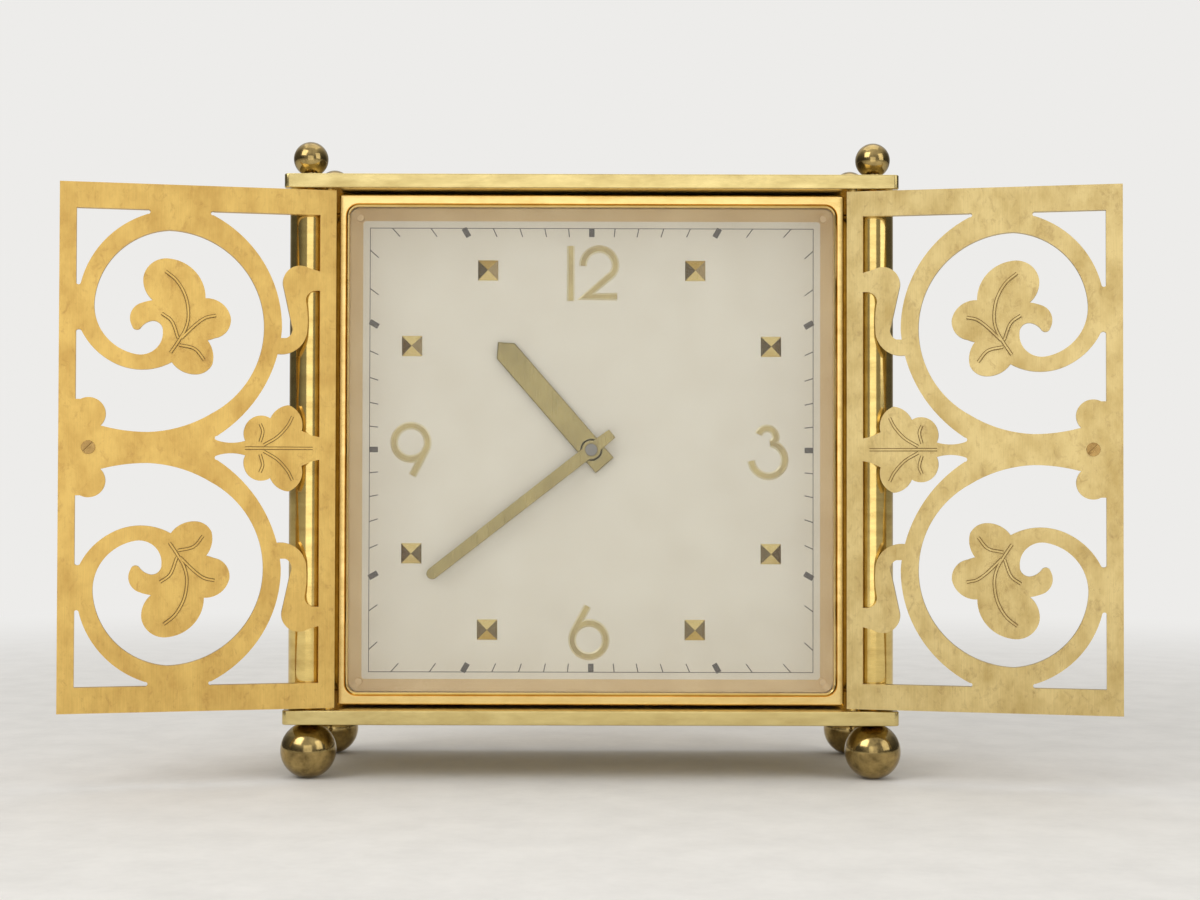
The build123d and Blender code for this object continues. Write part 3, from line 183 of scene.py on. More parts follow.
def brushedBrass(name, bright, deep, spot, spotShare=0.3, roughness=0.34):
    material, tree, shader = newMaterial(name)
    lines = noise(tree, *brush["line"])
    field = ramp(tree, noise(tree, *brush["cloud"]), list(zip(brush["cloudStops"], (deep, bright))))
    lined = addNode(
        tree, "ShaderNodeMix", {"data_type": "RGBA", "blend_type": "MULTIPLY"},
        {"Factor": brush["lineShare"]}, {"A": field, "B": ramp(tree, lines, brush["lineStops"])},
    )
    share = spotShare + brush["spotLift"]
    where = ramp(tree, noise(tree, *brush["spot"]), [
        (brush["spotFrom"] - brush["spotSpread"] * spotShare, "#000000"),
        (brush["spotTo"], (share, share, share, 1)),
    ])
    spotted = addNode(
        tree, "ShaderNodeMix", {"data_type": "RGBA"}, {"B": colour(spot)},
        {"Factor": where, "A": lined.outputs["Result"]},
    )
    rough = (roughness - brush["smoother"], roughness + brush["rougher"])
    return finished(
        material, tree, shader, brush["metallic"], spotted.outputs["Result"],
        spread(tree, lines, brush["range"], rough), lines, brush["relief"],
    )


# Aged polished brass mottled with tarnish; for the balls its dark olive-brown colours are partly a
# painted reflection of the dark room, and it still mirrors the room
tarnish = {
    "cloud": ((3.2, 3.2, 3.2), 6.0, 0.7), "stops": (0.32, 0.7),
    "speck": ((0.35, 0.35, 0.35), 3.0), "range": (0.3, 0.7), "rough": (0.2, 0.1), "relief": 0.08,
}


def tarnishedBrass(name, bright, dark):
    material, tree, shader = newMaterial(name)
    speck = noise(tree, *tarnish["speck"])
    shade = ramp(tree, noise(tree, *tarnish["cloud"]), list(zip(tarnish["stops"], (dark, bright))))
    rough = spread(tree, speck, tarnish["range"], tarnish["rough"])
    return finished(material, tree, shader, 1.0, shade, rough, speck, tarnish["relief"])


# Lacquer, print or plated sheet: a soft even colour with a fine grain
film = {"cloud": ((11.0, 11.0, 11.0), 4.0), "fineDetail": 2.0, "fineShare": 0.35, "stops": (0.45, 0.85)}


def finePaint(name, light, dark, roughness, metallic=0.0, grain=0.4, relief=0.1):
    material, tree, shader = newMaterial(name)
    fine = noise(tree, (grain,) * 3, film["fineDetail"])
    both = addNode(
        tree, "ShaderNodeMath", {"operation": "MULTIPLY_ADD"}, {1: film["fineShare"]},
        {0: fine, 2: noise(tree, *film["cloud"])},
    )
    shade = ramp(tree, both.outputs["Value"], list(zip(film["stops"], (dark, light))))
    return finished(material, tree, shader, metallic, shade, roughness, fine, relief)


# Clear window glass: seen through straight on, brighter reflections at a slant
pane = {
    "tint": "#F4F8F6", "roughness": 0.03, "slant": 0.35, "dust": ((6.0, 6.0, 6.0), 4.0),
    "dustShare": 0.01, "cover": (0.015, 0.4),
}


def windowGlass(name):
    material, tree, shader = newMaterial(name)
    edge = addNode(tree, "ShaderNodeLayerWeight", values={"Blend": pane["slant"]})
    hidden = addNode(
        tree, "ShaderNodeMath", {"operation": "MULTIPLY_ADD"}, {1: pane["dustShare"]},
        {0: noise(tree, *pane["dust"]), 2: edge.outputs["Fresnel"]},
    )
    shader.inputs["Base Color"].default_value = colour(pane["tint"])
    shader.inputs["Roughness"].default_value = pane["roughness"]
    cover = spread(tree, hidden.outputs["Value"], (0.0, 1.0), pane["cover"])
    tree.links.new(cover, shader.inputs["Alpha"])
    return material


materials = {
    "plateBrass": polishedBrass("Polished plate brass", "#DCC88A", "#C2AC70", 0.2, 0.46),
    "bezelBrass": polishedBrass("Polished bezel brass", "#EFD18B", "#DDBA70", 0.19, 0.42),
    "columnBrass": polishedBrass("Polished column brass", "#E6CB80", "#C7A863", 0.12, 0.42),
    # Balls: tarnish mottling, darkened overall by a painted reflection of the dark room
    "ballTarnishAndReflection": tarnishedBrass("Tarnished ball brass", "#C4AA6E", "#74623E"),
    "leftSheet": brushedBrass("Brushed golden sheet brass", "#E0BC6C", "#C8A158", "#94653A", 0.34),
    "rightSheet": brushedBrass("Brushed pale sheet brass", "#DBC488", "#C1A76B", "#8F7047", 0.45),
    "veinDark": finePaint("Engraved line brass", "#876834", "#6A5128", 0.6, 0.4),
    "knobBrass": polishedBrass("Polished knob brass", "#E2BE66", "#A98542", 0.2, 0.3),
    "screwBrass": tarnishedBrass("Browned screw brass", "#B8975C", "#8A6C40"),
    "caseBrass": brushedBrass("Brushed case brass", "#DABA6A", "#D0AE5F", "#A98A4F", 0.15, 0.36),
    "surroundTan": finePaint("Tan lacquered surround", "#E9CFA2", "#DDC092", 0.42, 0.3, 0.5, 0.08),
    "dialSilver": finePaint("Silvered dial", "#E4DECE", "#DED7C6", 0.45, 0.1, 0.25, 0.04),
    "printGrey": finePaint("Dial print", "#6E6862", "#5A5550", 0.6, 0.0),
    "numeralBrass": brushedBrass("Champagne numeral brass", "#B9A877", "#9C8C66", "#857557", 0.3, 0.35),
    # Pale colour on the numerals' sloped sides: a painted highlight for the light their bevels catch
    "numeralEdgeHighlight": finePaint("Pale numeral edge", "#E6DCBC", "#D2C69F", 0.4, 0.35),
    "markerBrass": polishedBrass("Faceted marker brass", "#E6CF8C", "#CDB06A", 0.1, 0.3),
    # Darker copy of the marker brass: painted shade for the pyramids' side facets
    "markerPaintedShade": polishedBrass("Shaded marker brass", "#8F7C58", "#7A6648", 0.2, 0.3),
    "handBrass": brushedBrass("Champagne hand brass", "#A29361", "#8D7F53", "#80714A", 0.25, 0.3),
    "steel": finePaint("Polished steel", "#C4C4C2", "#A4A4A3", 0.22, 1.0, 0.3, 0.08),
    "pinSteel": finePaint("Grey arbor steel", "#8D8981", "#6C6862", 0.35, 1.0, 0.3, 0.1),
    "springSteel": finePaint("Blued spring steel", "#4E5A7C", "#343C58", 0.3, 1.0, 0.3, 0.08),
    "movementBrass": brushedBrass("Grained movement brass", "#DFBF70", "#D3B164", "#B08F4C", 0.15, 0.34),
    "glass": windowGlass("Clear dial glass"),
}
print("materials:", len(materials))


# Joining distances in m, angles in degrees
mending = {"axis": 1e-9, "sameSpot": 1e-7, "cadSpot": 2e-6, "flat": 1.0, "sharp": 34, "weight": 80}


def linked(name, mesh):
    obj = bpy.data.objects.new(name, mesh)
    scene.collection.objects.link(obj)
    return obj


def smoothed(obj, angle):
    for face in obj.data.polygons:
        face.use_smooth = True
    obj.data.set_sharp_from_angle(angle=radians(angle))


def newObject(name, build, material, smooth=40, second=None):
    # build fills a bmesh in the frame's coordinates; a face may ask for the second material
    mesh = bpy.data.meshes.new(name)
    form = bmesh.new()
    build(form)
    bmesh.ops.remove_doubles(form, verts=form.verts, dist=mending["sameSpot"])
    bmesh.ops.recalc_face_normals(form, faces=form.faces)
    form.to_mesh(mesh)
    form.free()
    obj = linked(name, mesh)
    mesh.materials.append(material)
    if second:
        mesh.materials.append(second)
    smoothed(obj, smooth)
    return obj


def applied(obj):
    # The evaluated mesh takes the place of the modifiers
    graph = bpy.context.evaluated_depsgraph_get()
    mesh = bpy.data.meshes.new_from_object(obj.evaluated_get(graph))
    obj.modifiers.clear()
    obj.data = mesh
    return obj


def broken(obj, width, segments, angle, smooth):
    # Edges sharper than angle are broken; large flats keep their own normal
    bevel = obj.modifiers.new("edges", "BEVEL")
    bevel.width = width * mm
    bevel.segments = segments
    bevel.limit_method = "ANGLE"
    bevel.angle_limit = radians(angle)
    bevel.use_clamp_overlap = True
    applied(obj)
    smoothed(obj, smooth)
    weighted = obj.modifiers.new("normals", "WEIGHTED_NORMAL")
    weighted.keep_sharp = True
    weighted.weight = mending["weight"]
    return applied(obj)


def softened(node, name, width, material, segments, angle):
    # A CAD piece's own shape, with its sharp edges broken
    mesh = frame["nodes"][node].data.copy()
    form = bmesh.new()
    form.from_mesh(mesh)
    bmesh.ops.remove_doubles(form, verts=form.verts, dist=mending["cadSpot"])
    bmesh.ops.dissolve_limit(
        form, angle_limit=radians(mending["flat"]), verts=form.verts, edges=form.edges,
        delimit={"NORMAL"},
    )
    form.to_mesh(mesh)
    form.free()
    mesh.materials.clear()
    mesh.materials.append(material)
    return broken(linked(name, mesh), width, segments, angle, mending["sharp"])


def bridge(form, first, second):
    # A band of faces between two rings of as many points
    return [
        form.faces.new((first[k - 1], first[k], second[k], second[k - 1])) for k in range(len(first))
    ]


def closedTube(form, rings):
    # Each ring is joined to the next, and the last to the first
    for k in range(len(rings)):
        bridge(form, rings[k - 1], rings[k])


def place(obj, body, slot, *nodes):
    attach(obj, body)
    if nodes:
        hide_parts(*nodes)
    return obj


def put(name, build, material, sharp, body, slot, *nodes):
    return place(newObject(name, build, materials[material], sharp), body, slot, *nodes)


def turnedForm(form, centre, profile, steps=64):
    # A closed turned solid about Z: profile goes from the axis round to the axis, (radius, height)
    rings = []
    for radius, height in profile:
        if radius < mending["axis"]:
            rings.append([form.verts.new(centre + Vector((0, 0, height)))])
        else:
            rings.append([
                form.verts.new(centre + Vector((radius * cos(a), radius * sin(a), height)))
                for a in (2 * pi * k / steps for k in range(steps))
            ])
    for low, high in zip(rings, rings[1:]):
        for k in range(steps):
            corner = [low[k % len(low)], low[(k + 1) % len(low)],
                      high[(k + 1) % len(high)], high[k % len(high)]]
            unique = []
            for vert in corner:
                if vert not in unique:
                    unique.append(vert)
            if len(unique) > 2:
                form.faces.new(unique)


def roundedOutline(width, depth, radius, steps=8):
    # A rectangle with rounded corners about the middle, counterclockwise
    outline = []
    for quarter, (sx, sy) in enumerate(corners):
        for k in range(steps + 1):
            angle = (quarter + k / steps) * pi / 2
            outline.append((sx * (width / 2 - radius) + radius * cos(angle),
                            sy * (depth / 2 - radius) + radius * sin(angle)))
    return outline


# Columns and balls, turned in one piece each
balls = {
    "footRadius": 5.5, "footFlat": 1.2, "footHeight": 5.3675,
    "finialRadius": 3.4, "neckRadius": 1.8, "latitudes": 40, "sharp": 50,
}


def ballProfile(radius, centreHeight, flat, neckRadius, neckTop, up):
    # A ball in mm, with a flat opposite its neck; up: the neck is on top (a foot), otherwise below
    points = []
    steps = balls["latitudes"]
    start = atan2(flat, sqrt(radius**2 - flat**2))
    stop = pi - atan2(neckRadius, sqrt(radius**2 - neckRadius**2))
    if flat:
        points.append((0, -sqrt(radius**2 - flat**2)))
    for k in range(steps + 1):
        angle = start + (stop - start) * k / steps
        points.append((max(radius * sin(angle), 0.0), -radius * cos(angle)))
    points += [(neckRadius, neckTop), (0, neckTop)]
    turn = 1 if up else -1
    return [(r * mm, centreHeight + turn * h * mm) for r, h in points]


def ballSet(name, node, up):
    low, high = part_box(node)
    radius = balls["footRadius"] if up else balls["finialRadius"]
    spanX = (high[0] - low[0]) / 2 - radius * mm
    spanY = (high[1] - low[1]) / 2 - radius * mm
    height = balls["footHeight"] * mm if up else high[2] - radius * mm
    gap = (plateLow[2] - height if up else height - topHigh[2]) / mm
    profile = ballProfile(radius, height, balls["footFlat"] if up else 0, balls["neckRadius"], gap, up)

    def build(form):
        for sx, sy in corners:
            turnedForm(form, Vector((sx * spanX, sy * spanY, 0)), profile)

    put(name, build, "ballTarnishAndReflection", balls["sharp"], "stand", "ball_brass", node)


ballSet("ball-feet", "ball_feet", True)
ballSet("ball-finials", "ball_finials", False)

columnShape = {"chamfer": 0.2, "steps": 96, "sharp": 30}
for corner in ("front_left", "front_right", "rear_left", "rear_right"):
    low, high = (Vector(v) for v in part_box("column_" + corner))
    radius = (high.x - low.x) / 2
    cut = columnShape["chamfer"] * mm
    bottom, top = low.z, high.z
    columnProfile = [(0, bottom), (radius - cut, bottom), (radius, bottom + cut),
                     (radius, top - cut), (radius - cut, top), (0, top)]
    centre = Vector(((low.x + high.x) / 2, (low.y + high.y) / 2, 0))
    put(
        "column-" + corner.replace("_", "-"),
        lambda form: turnedForm(form, centre, columnProfile, columnShape["steps"]),
        "columnBrass", columnShape["sharp"], "stand", "plate_brass", "column_" + corner,
    )
print("balls and columns")

# End plates: flat slabs with rounded upright corners and lightly broken edges
plateShape = {"corner": 1.0, "edge": 0.22, "segments": 3, "bend": 50, "sharp": 60}


def slab(form, outline, low, high):
    # The outline pulled up from one height to another
    bottom = [form.verts.new((x, y, low)) for x, y in outline]
    top = [form.verts.new((x, y, high)) for x, y in outline]
    form.faces.new(bottom[::-1])
    form.faces.new(top)
    bridge(form, bottom, top)


for node, (low, high) in (("bottom_plate", (plateLow, plateHigh)), ("top_plate", (topLow, topHigh))):
    outline = roundedOutline(high[0] - low[0], high[1] - low[1], plateShape["corner"] * mm)
    plate = newObject(
        node.replace("_", "-"),
        lambda form: slab(form, outline, low[2], high[2]),
        materials["plateBrass"],
    )
    broken(plate, *(plateShape[key] for key in ("edge", "segments", "bend", "sharp")))
    place(plate, "stand", "plate_brass", node)
print("end plates")

# Pieces that keep their CAD shape, with broken edges: width in mm, segments and least bend in degrees
doorSheets = (("left", "leftSheet"), ("right", "rightSheet"))
softPieces = [
    ("case_body", "case-tube", "caseBrass", "stand", "case_brass", 0.15, 2, 32),
    ("rear_cover", "rear-cover-sheet", "caseBrass", "stand", "case_brass", 0.15, 2, 32),
    ("glass", "dial-glass", "glass", "stand", "glass", 0.1, 2, 32),
    ("minute_hand", "minute-hand-blade", "handBrass", "minute_body", "hand_brass", 0.09, 2, 32),
    ("cannon_pinion", "hand-arbor", "pinSteel", "minute_body", "steel", 0.15, 2, 50),
    ("winding_key", "winding-key-wings", "steel", "winding_body", "steel", 0.25, 2, 50),
]
for side, sheet in doorSheets:
    leaf = side + "_leaf"
    softPieces += [
        (side + "_door", side + "-door-sheet", sheet, leaf, "door_brass", 0.1, 2, 32),
        (side + "_knob", side + "-door-knob", "knobBrass", leaf, "knob_brass", 0.08, 2, 50),
        (side + "_knob_screw", side + "-door-screw", "screwBrass", leaf, "steel", 0.05, 2, 32),
    ]
for node, name, material, body, slot, width, segments, bend in softPieces:
    place(softened(node, name, width, materials[material], segments, bend), body, slot, node)
print("doors and the other CAD shapes:", len(softPieces))

# Engraved veins of the ivy leaves, in mm from the door's hinge-side edge and its mid-height
veins = {
    "width": 0.62, "ridge": 0.34, "proud": 0.012, "ridgeProud": 0.036, "step": 0.0008,
    "face": 0.8, "sunk": 0.05, "steps": 8, "sharp": 20, "hingeEdge": 1.15,
    "centre": [
        [(4.4, 0.0), (17.4, 0.0)],
        [(8.3, 6.2), (9.3, 4.3), (11.2, 2.2), (13.8, 0.6)],
        [(14.5, 4.7), (14.0, 3.2), (14.5, 1.2)],
        [(8.3, -6.2), (9.3, -4.3), (11.2, -2.2), (13.8, -0.6)],
        [(14.5, -4.7), (14.0, -3.2), (14.5, -1.2)],
    ],
    "leaf": [
        [(32.5, 33.8), (30.3, 31.9), (28.7, 28.9), (28.2, 25.5), (28.7, 22.9), (30.0, 20.5),
         (31.5, 18.2)],
        [(23.0, 25.5), (25.0, 25.0), (27.0, 23.5), (29.5, 21.0)],
        [(33.2, 25.7), (31.3, 24.2), (30.1, 21.0)],
        [(25.2, 16.9), (27.0, 19.0), (29.9, 19.7)],
    ],
}


def groupInputs(tree, *rows):
    # New inputs from (name, kind, value); they are filled by identifier
    ids = {}
    for name, kind, value in rows:
        socket = tree.interface.new_socket(name=name, in_out="INPUT", socket_type="NodeSocket" + kind)
        if value is not None:
            socket.default_value = value
        ids[name] = socket.identifier
    return ids


def newGeometryTree(name):
    tree = bpy.data.node_groups.new(name, "GeometryNodeTree")
    tree.interface.new_socket(name="Geometry", in_out="INPUT", socket_type="NodeSocketGeometry")
    tree.interface.new_socket(name="Geometry", in_out="OUTPUT", socket_type="NodeSocketGeometry")
    return tree, addNode(tree, "NodeGroupInput"), addNode(tree, "NodeGroupOutput")


def finishTree(tree, geometry, material, output):
    real = addNode(tree, "GeometryNodeRealizeInstances", links={"Geometry": geometry})
    final = addNode(
        tree, "GeometryNodeSetMaterial",
        links={"Geometry": real.outputs["Geometry"], "Material": material},
    )
    tree.links.new(final.outputs["Geometry"], output.inputs[0])


def runTree(obj, tree, values):
    modifier = obj.modifiers.new("nodes", "NODES")
    modifier.node_group = tree
    for identifier, value in values.items():
        modifier[identifier] = value
    graph = bpy.context.evaluated_depsgraph_get()
    mesh = bpy.data.meshes.new_from_object(obj.evaluated_get(graph))
    name = obj.name
    bpy.data.objects.remove(obj)
    return linked(name, mesh)
    return result


def doorFrame(side):
    # Start and directions of the door's drawing, on its inner face while it stands open
    hinge = jointPlace(side + "_door_hinge")
    low, high = (Vector(v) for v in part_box(side + "_door"))
    sign = -1 if side == "left" else 1
    tilt = atan2(hinge.y - low.y, abs((high.x if sign > 0 else low.x) - hinge.x))
    along = Vector((sign * cos(tilt), -sin(tilt), 0))
    facing = Vector((-sign * sin(tilt), -cos(tilt), 0))
    return Vector((hinge.x, hinge.y, dialCentre.z)), along, facing


doorFrames = {side: doorFrame(side) for side in ("left", "right")}


def doorPoint(side, across, up, lift):
    start, along, facing = doorFrames[side]
    return start + along * ((across - veins["hingeEdge"]) * mm) + facing * lift + Vector((0, 0, up * mm))


def smoothPath(path):
    # A smooth curve through every point of the path
    points = [Vector(point) for point in path]
    points = [points[0] * 2 - points[1]] + points + [points[-1] * 2 - points[-2]]
    curve = []
    for a, b, c, d in zip(points, points[1:], points[2:], points[3:]):
        for k in range(veins["steps"]):
            t = k / veins["steps"]
            curve.append(0.5 * (2 * b + (c - a) * t + (2 * a - 5 * b + 4 * c - d) * t**2
                                + (3 * b - a - 3 * c + d) * t**3))
    curve.append(points[-2])
    return curve


def veinBand(form, side, path, width, rise):
    # A flat band that lies on the sheet's inner face
    curve = smoothPath(path)
    low, high = (veins["face"] - veins["sunk"]) * mm, (veins["face"] + rise) * mm
    rows = []
    for k, point in enumerate(curve):
        way = (curve[min(k + 1, len(curve) - 1)] - curve[max(k - 1, 0)]).normalized()
        reach = Vector((-way.y, way.x)) * width / 2
        rows.append([
            form.verts.new(doorPoint(side, spot.x, spot.y, level))
            for spot, level in (
                (point + reach, low), (point + reach, high), (point - reach, high), (point - reach, low),
            )
        ])
    for first, second in zip(rows, rows[1:]):
        bridge(form, first, second)
    form.faces.new(rows[0])
    form.faces.new(rows[-1][::-1])


for side, sheet in doorSheets:
    paths = list(veins["centre"])
    for path in veins["leaf"]:
        paths.append(path)
        paths.append([(u, -v) for u, v in path])
    for name, width, proud, material in (
        ("-door-vein-grooves", veins["width"], veins["proud"], "veinDark"),
        ("-door-vein-ridges", veins["ridge"], veins["ridgeProud"], sheet),
    ):
        def bands(form):
            for k, path in enumerate(paths):
                veinBand(form, side, path, width, proud + veins["step"] * k)

        put(side + name, bands, material, veins["sharp"], side + "_leaf", "door_brass")
print("engraved veins")

# Square bezel with a rounded bead round its opening
bezel = {
    "opening": 95.9, "corner": 1.8, "outerCorner": 0.35, "edge": 0.25, "lip": 0.8, "step": 0.2,
    "pocketWidth": 97.2, "pocketHeight": 98.2, "arcSteps": 10, "sharp": 33,
    "bead": ((0.74, 0.2), (0.64, 0.38), (0.52, 0.12), (0.28, 0.0), (0.06, 0.1), (0.0, 0.26)),
}


def bezelForm(form):
    low, high = (Vector(v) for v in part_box("bezel"))
    width, height, depth = (high.x - low.x) / mm, (high.z - low.z) / mm, (high.y - low.y) / mm
    opening, corner, outer, edge = (bezel[key] for key in ("opening", "corner", "outerCorner", "edge"))
    step, lip = bezel["step"], bezel["lip"]
    shapes = [
        (width, height, outer, depth), (width, height, outer, step + edge),
        (width - 2 * edge, height - 2 * edge, outer, step),
    ]
    shapes += [(opening + 2 * out, opening + 2 * out, corner + out, back) for out, back in bezel["bead"]]
    shapes += [
        (opening, opening, corner, lip), (bezel["pocketWidth"], bezel["pocketHeight"], corner, lip),
        (bezel["pocketWidth"], bezel["pocketHeight"], corner, depth),
    ]
    rings = [
        [form.verts.new((x, low.y + back * mm, dialCentre.z + z))
         for x, z in roundedOutline(w * mm, h * mm, radius * mm, bezel["arcSteps"])]
        for w, h, radius, back in shapes
    ]
    closedTube(form, rings)


put("square-bezel", bezelForm, "bezelBrass", bezel["sharp"], "stand", "bezel_brass", "bezel")

# Sloped surround in front of the dial, with a small screw sunk into each corner
surround = {
    "window": 91.6, "windowCorner": 0.6, "opening": 95.9, "openingCorner": 1.8, "outerCorner": 0.2,
    "arcSteps": 10, "sharp": 25,
    "screwAt": 46.25, "screwRadius": 0.8, "screwProud": 0.12, "screwTaper": 0.86, "screwSteps": 28,
    "screwSharp": 30,
}


def surroundForm(form):
    low, high = (Vector(v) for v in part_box("dial_surround"))
    shapes = (
        (high.x - low.x, high.z - low.z, surround["outerCorner"] * mm, low.y),
        (surround["opening"] * mm, surround["opening"] * mm, surround["openingCorner"] * mm, low.y),
        (surround["window"] * mm, surround["window"] * mm, surround["windowCorner"] * mm, high.y),
        (high.x - low.x, high.z - low.z, surround["outerCorner"] * mm, high.y),
    )
    rings = [
        [form.verts.new((x, y, dialCentre.z + z))
         for x, z in roundedOutline(width, height, corner, surround["arcSteps"])]
        for width, height, corner, y in shapes
    ]
    closedTube(form, rings)


put("dial-surround-frame", surroundForm, "surroundTan", surround["sharp"],
    "stand", "surround_tan", "dial_surround")


def surroundScrews(form):
    low, high = (Vector(v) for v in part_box("dial_surround"))
    reach, radius = surround["screwAt"] * mm, surround["screwRadius"] * mm
    middle = (low.y + high.y) / 2 - surround["screwProud"] * mm
    for sx, sz in corners:
        spot = (sx * reach, (high.y + middle) / 2, dialCentre.z + sz * reach)
        bmesh.ops.create_cone(
            form, cap_ends=True, segments=surround["screwSteps"], radius1=radius,
            radius2=radius * surround["screwTaper"], depth=high.y - middle,
            matrix=Matrix.Translation(spot) @ Matrix.Rotation(pi / 2, 4, "X"),
        )


put("surround-corner-screws", surroundScrews, "surroundTan", surround["screwSharp"],
    "stand", "surround_tan", "surround_screws")

# Hour hand: a flat blade with a broken front edge
hourHand = {
    "angle": 319.0, "length": 28.5, "width": 4.75, "tail": 4.1, "eye": 1.55, "edge": 0.22, "sharp": 20,
    "mitre": 0.3,
}
eyeSteps = 48


def ringed(form, outline, hole, levels, depthAt):
    # A flat blade with a round eye: levels give each ring's inset and depth, front last
    rings = []
    for inset, level in levels:
        rings.append([form.verts.new(depthAt(*shrunk, level)) for shrunk in inward(outline, inset)])
    turns = [2 * pi * k / eyeSteps for k in range(eyeSteps)]
    eyes = [
        [form.verts.new(depthAt(hole * cos(turn), hole * sin(turn), level)) for turn in turns]
        for level in (levels[0][1], levels[-1][1])
    ]
    for first, second in zip(rings, rings[1:]):
        bridge(form, first, second)
    bridge(form, *eyes)
    for ring, eye in ((rings[0], eyes[0]), (rings[-1], eyes[1])):
        edges = []
        for loop in (ring, eye):
            for k in range(len(loop)):
                ends = (loop[k - 1], loop[k])
                edges.append(form.edges.get(ends) or form.edges.new(ends))
        bmesh.ops.triangle_fill(form, use_beauty=True, use_dissolve=False, edges=edges)


def inward(outline, inset):
    # The outline moved in by inset, corner by corner (counterclockwise outlines only)
    result = []
    count = len(outline)
    for k in range(count):
        before, here, after = (Vector(outline[n]) for n in (k - 1, k, (k + 1) % count))
        one, two = (here - before).normalized(), (after - here).normalized()
        normals = Vector((-one.y, one.x)), Vector((-two.y, two.x))
        middle = (normals[0] + normals[1]).normalized()
        result.append(tuple(here + middle * inset / max(middle.dot(normals[0]), hourHand["mitre"])))
    return result


def hourForm(form):
    low, high = (Vector(v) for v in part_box("hour_hand"))
    wide, length, tail = hourHand["width"] / 2 * mm, hourHand["length"] * mm, hourHand["tail"] * mm
    outline = [(wide, -tail), (wide, length - wide), (0, length), (-wide, length - wide), (-wide, -tail)]
    turn = radians(hourHand["angle"])
    edge = hourHand["edge"] * mm

    def depthAt(x, z, level):
        rise = z * cos(turn) - x * sin(turn)
        return Vector((x * cos(turn) + z * sin(turn), level, dialCentre.z + rise))

    levels = [(0.0, high.y), (0.0, low.y + edge / 2), (edge, low.y)]
    ringed(form, outline, hourHand["eye"] * mm, levels, depthAt)


put("hour-hand-blade", hourForm, "handBrass", hourHand["sharp"], "hour_body", "hand_brass", "hour_hand")

# Applied numerals, swept along the drawn strokes with sloping sides, in mm from the dial's centre
numeralShape = {
    "foot": 1.6, "top": 0.92, "height": 0.22, "step": 0.02, "ringRadius": 3.35, "nearest": 0.02,
    "sharp": 25, "mitre": 0.4,
    "one": [[(-4.2, 29.9), (-4.2, 40.9)]],
    "two": [[(-1.75, 36.9), (1.35, 40.3), (4.75, 37.2)], [(4.75, 37.2), (4.5, 35.9), (3.5, 34.75)]],
    "twoFoot": [(3.5, 34.75), (-1.15, 30.75), (5.1, 30.75)],
    "three": [[(33.5, 3.2), (35.3, 4.4), (36.9, 2.9)], [(36.9, 2.9), (36.7, 1.9), (35.75, 1.35)]],
    "threeLow": [[(36.3, 1.35), (38.7, -1.8), (35.6, -5.2)],
                 [(35.6, -5.2), (33.25, -4.35), (32.0, -2.1)]],
    "rings": [((-0.4, -37.9), (-3.55, -36.6), (-0.7, -31.2)),
              ((-36.1, 1.45), (-32.95, 0.3), (-35.8, -5.2))],
}


def arcPoints(start, middle, end, steps=14):
    # Points on the circle through three points, from start past middle to end
    (ax, ay), (bx, by), (cx, cy) = start, middle, end
    d = 2 * (ax * (by - cy) + bx * (cy - ay) + cx * (ay - by))
    a2, b2, c2 = ax * ax + ay * ay, bx * bx + by * by, cx * cx + cy * cy
    centre = Vector(((a2 * (by - cy) + b2 * (cy - ay) + c2 * (ay - by)) / d,
                     (a2 * (cx - bx) + b2 * (ax - cx) + c2 * (bx - ax)) / d))
    first, last = Vector(start) - centre, Vector(end) - centre
    sweep = atan2(first.x * last.y - first.y * last.x, first.dot(last))
    side = atan2(first.x * (by - centre.y) - first.y * (bx - centre.x),
                 first.dot(Vector(middle) - centre))
    if side * sweep < 0 or abs(side) > abs(sweep):
        sweep -= 2 * pi if sweep > 0 else -2 * pi
    return [
        tuple(centre + Matrix.Rotation(sweep * k / steps, 2) @ first) for k in range(steps + 1)
    ]


def stroke(form, path, closed=False, lift=0.0):
    # A raised band whose sides slope in to its flat top; the sides take the second material, a pale
    # painted highlight
    foot, top, height = (numeralShape[key] * mm for key in ("foot", "top", "height"))
    height += lift * mm
    points = [Vector(point) * mm for point in path]
    count = len(points)
    rows = []
    for k, point in enumerate(points):
        before = points[k - 1] if (closed or k) else None
        after = points[(k + 1) % count] if (closed or k < count - 1) else None
        sides = [(b - a).normalized() for a, b in ((before, point), (point, after)) if a and b]
        sides = [Vector((-way.y, way.x)) for way in sides]
        middle = sum(sides, Vector((0, 0))).normalized()
        stretch = 1 / max(middle.dot(sides[0]), numeralShape["mitre"])
        rows.append([
            form.verts.new((at.x, dialCentre.y - level, dialCentre.z + at.y))
            for at, level in (
                (point + middle * foot / 2 * stretch, 0.0), (point + middle * top / 2 * stretch, height),
                (point - middle * top / 2 * stretch, height), (point - middle * foot / 2 * stretch, 0.0),
            )
        ])
    pairs = list(zip(rows, rows[1:])) + ([(rows[-1], rows[0])] if closed else [])
    for first, second in pairs:
        for k, face in enumerate(bridge(form, first, second)):
            # The sloped sides take the pale painted highlight
            face.material_index = k % 2
    if not closed:
        form.faces.new(rows[0])
        form.faces.new(rows[-1][::-1])


def distinct(path):
    # Arcs that meet share a point, which is kept once
    nearest = numeralShape["nearest"]
    return [p for k, p in enumerate(path) if not k or (Vector(p) - Vector(path[k - 1])).length > nearest]


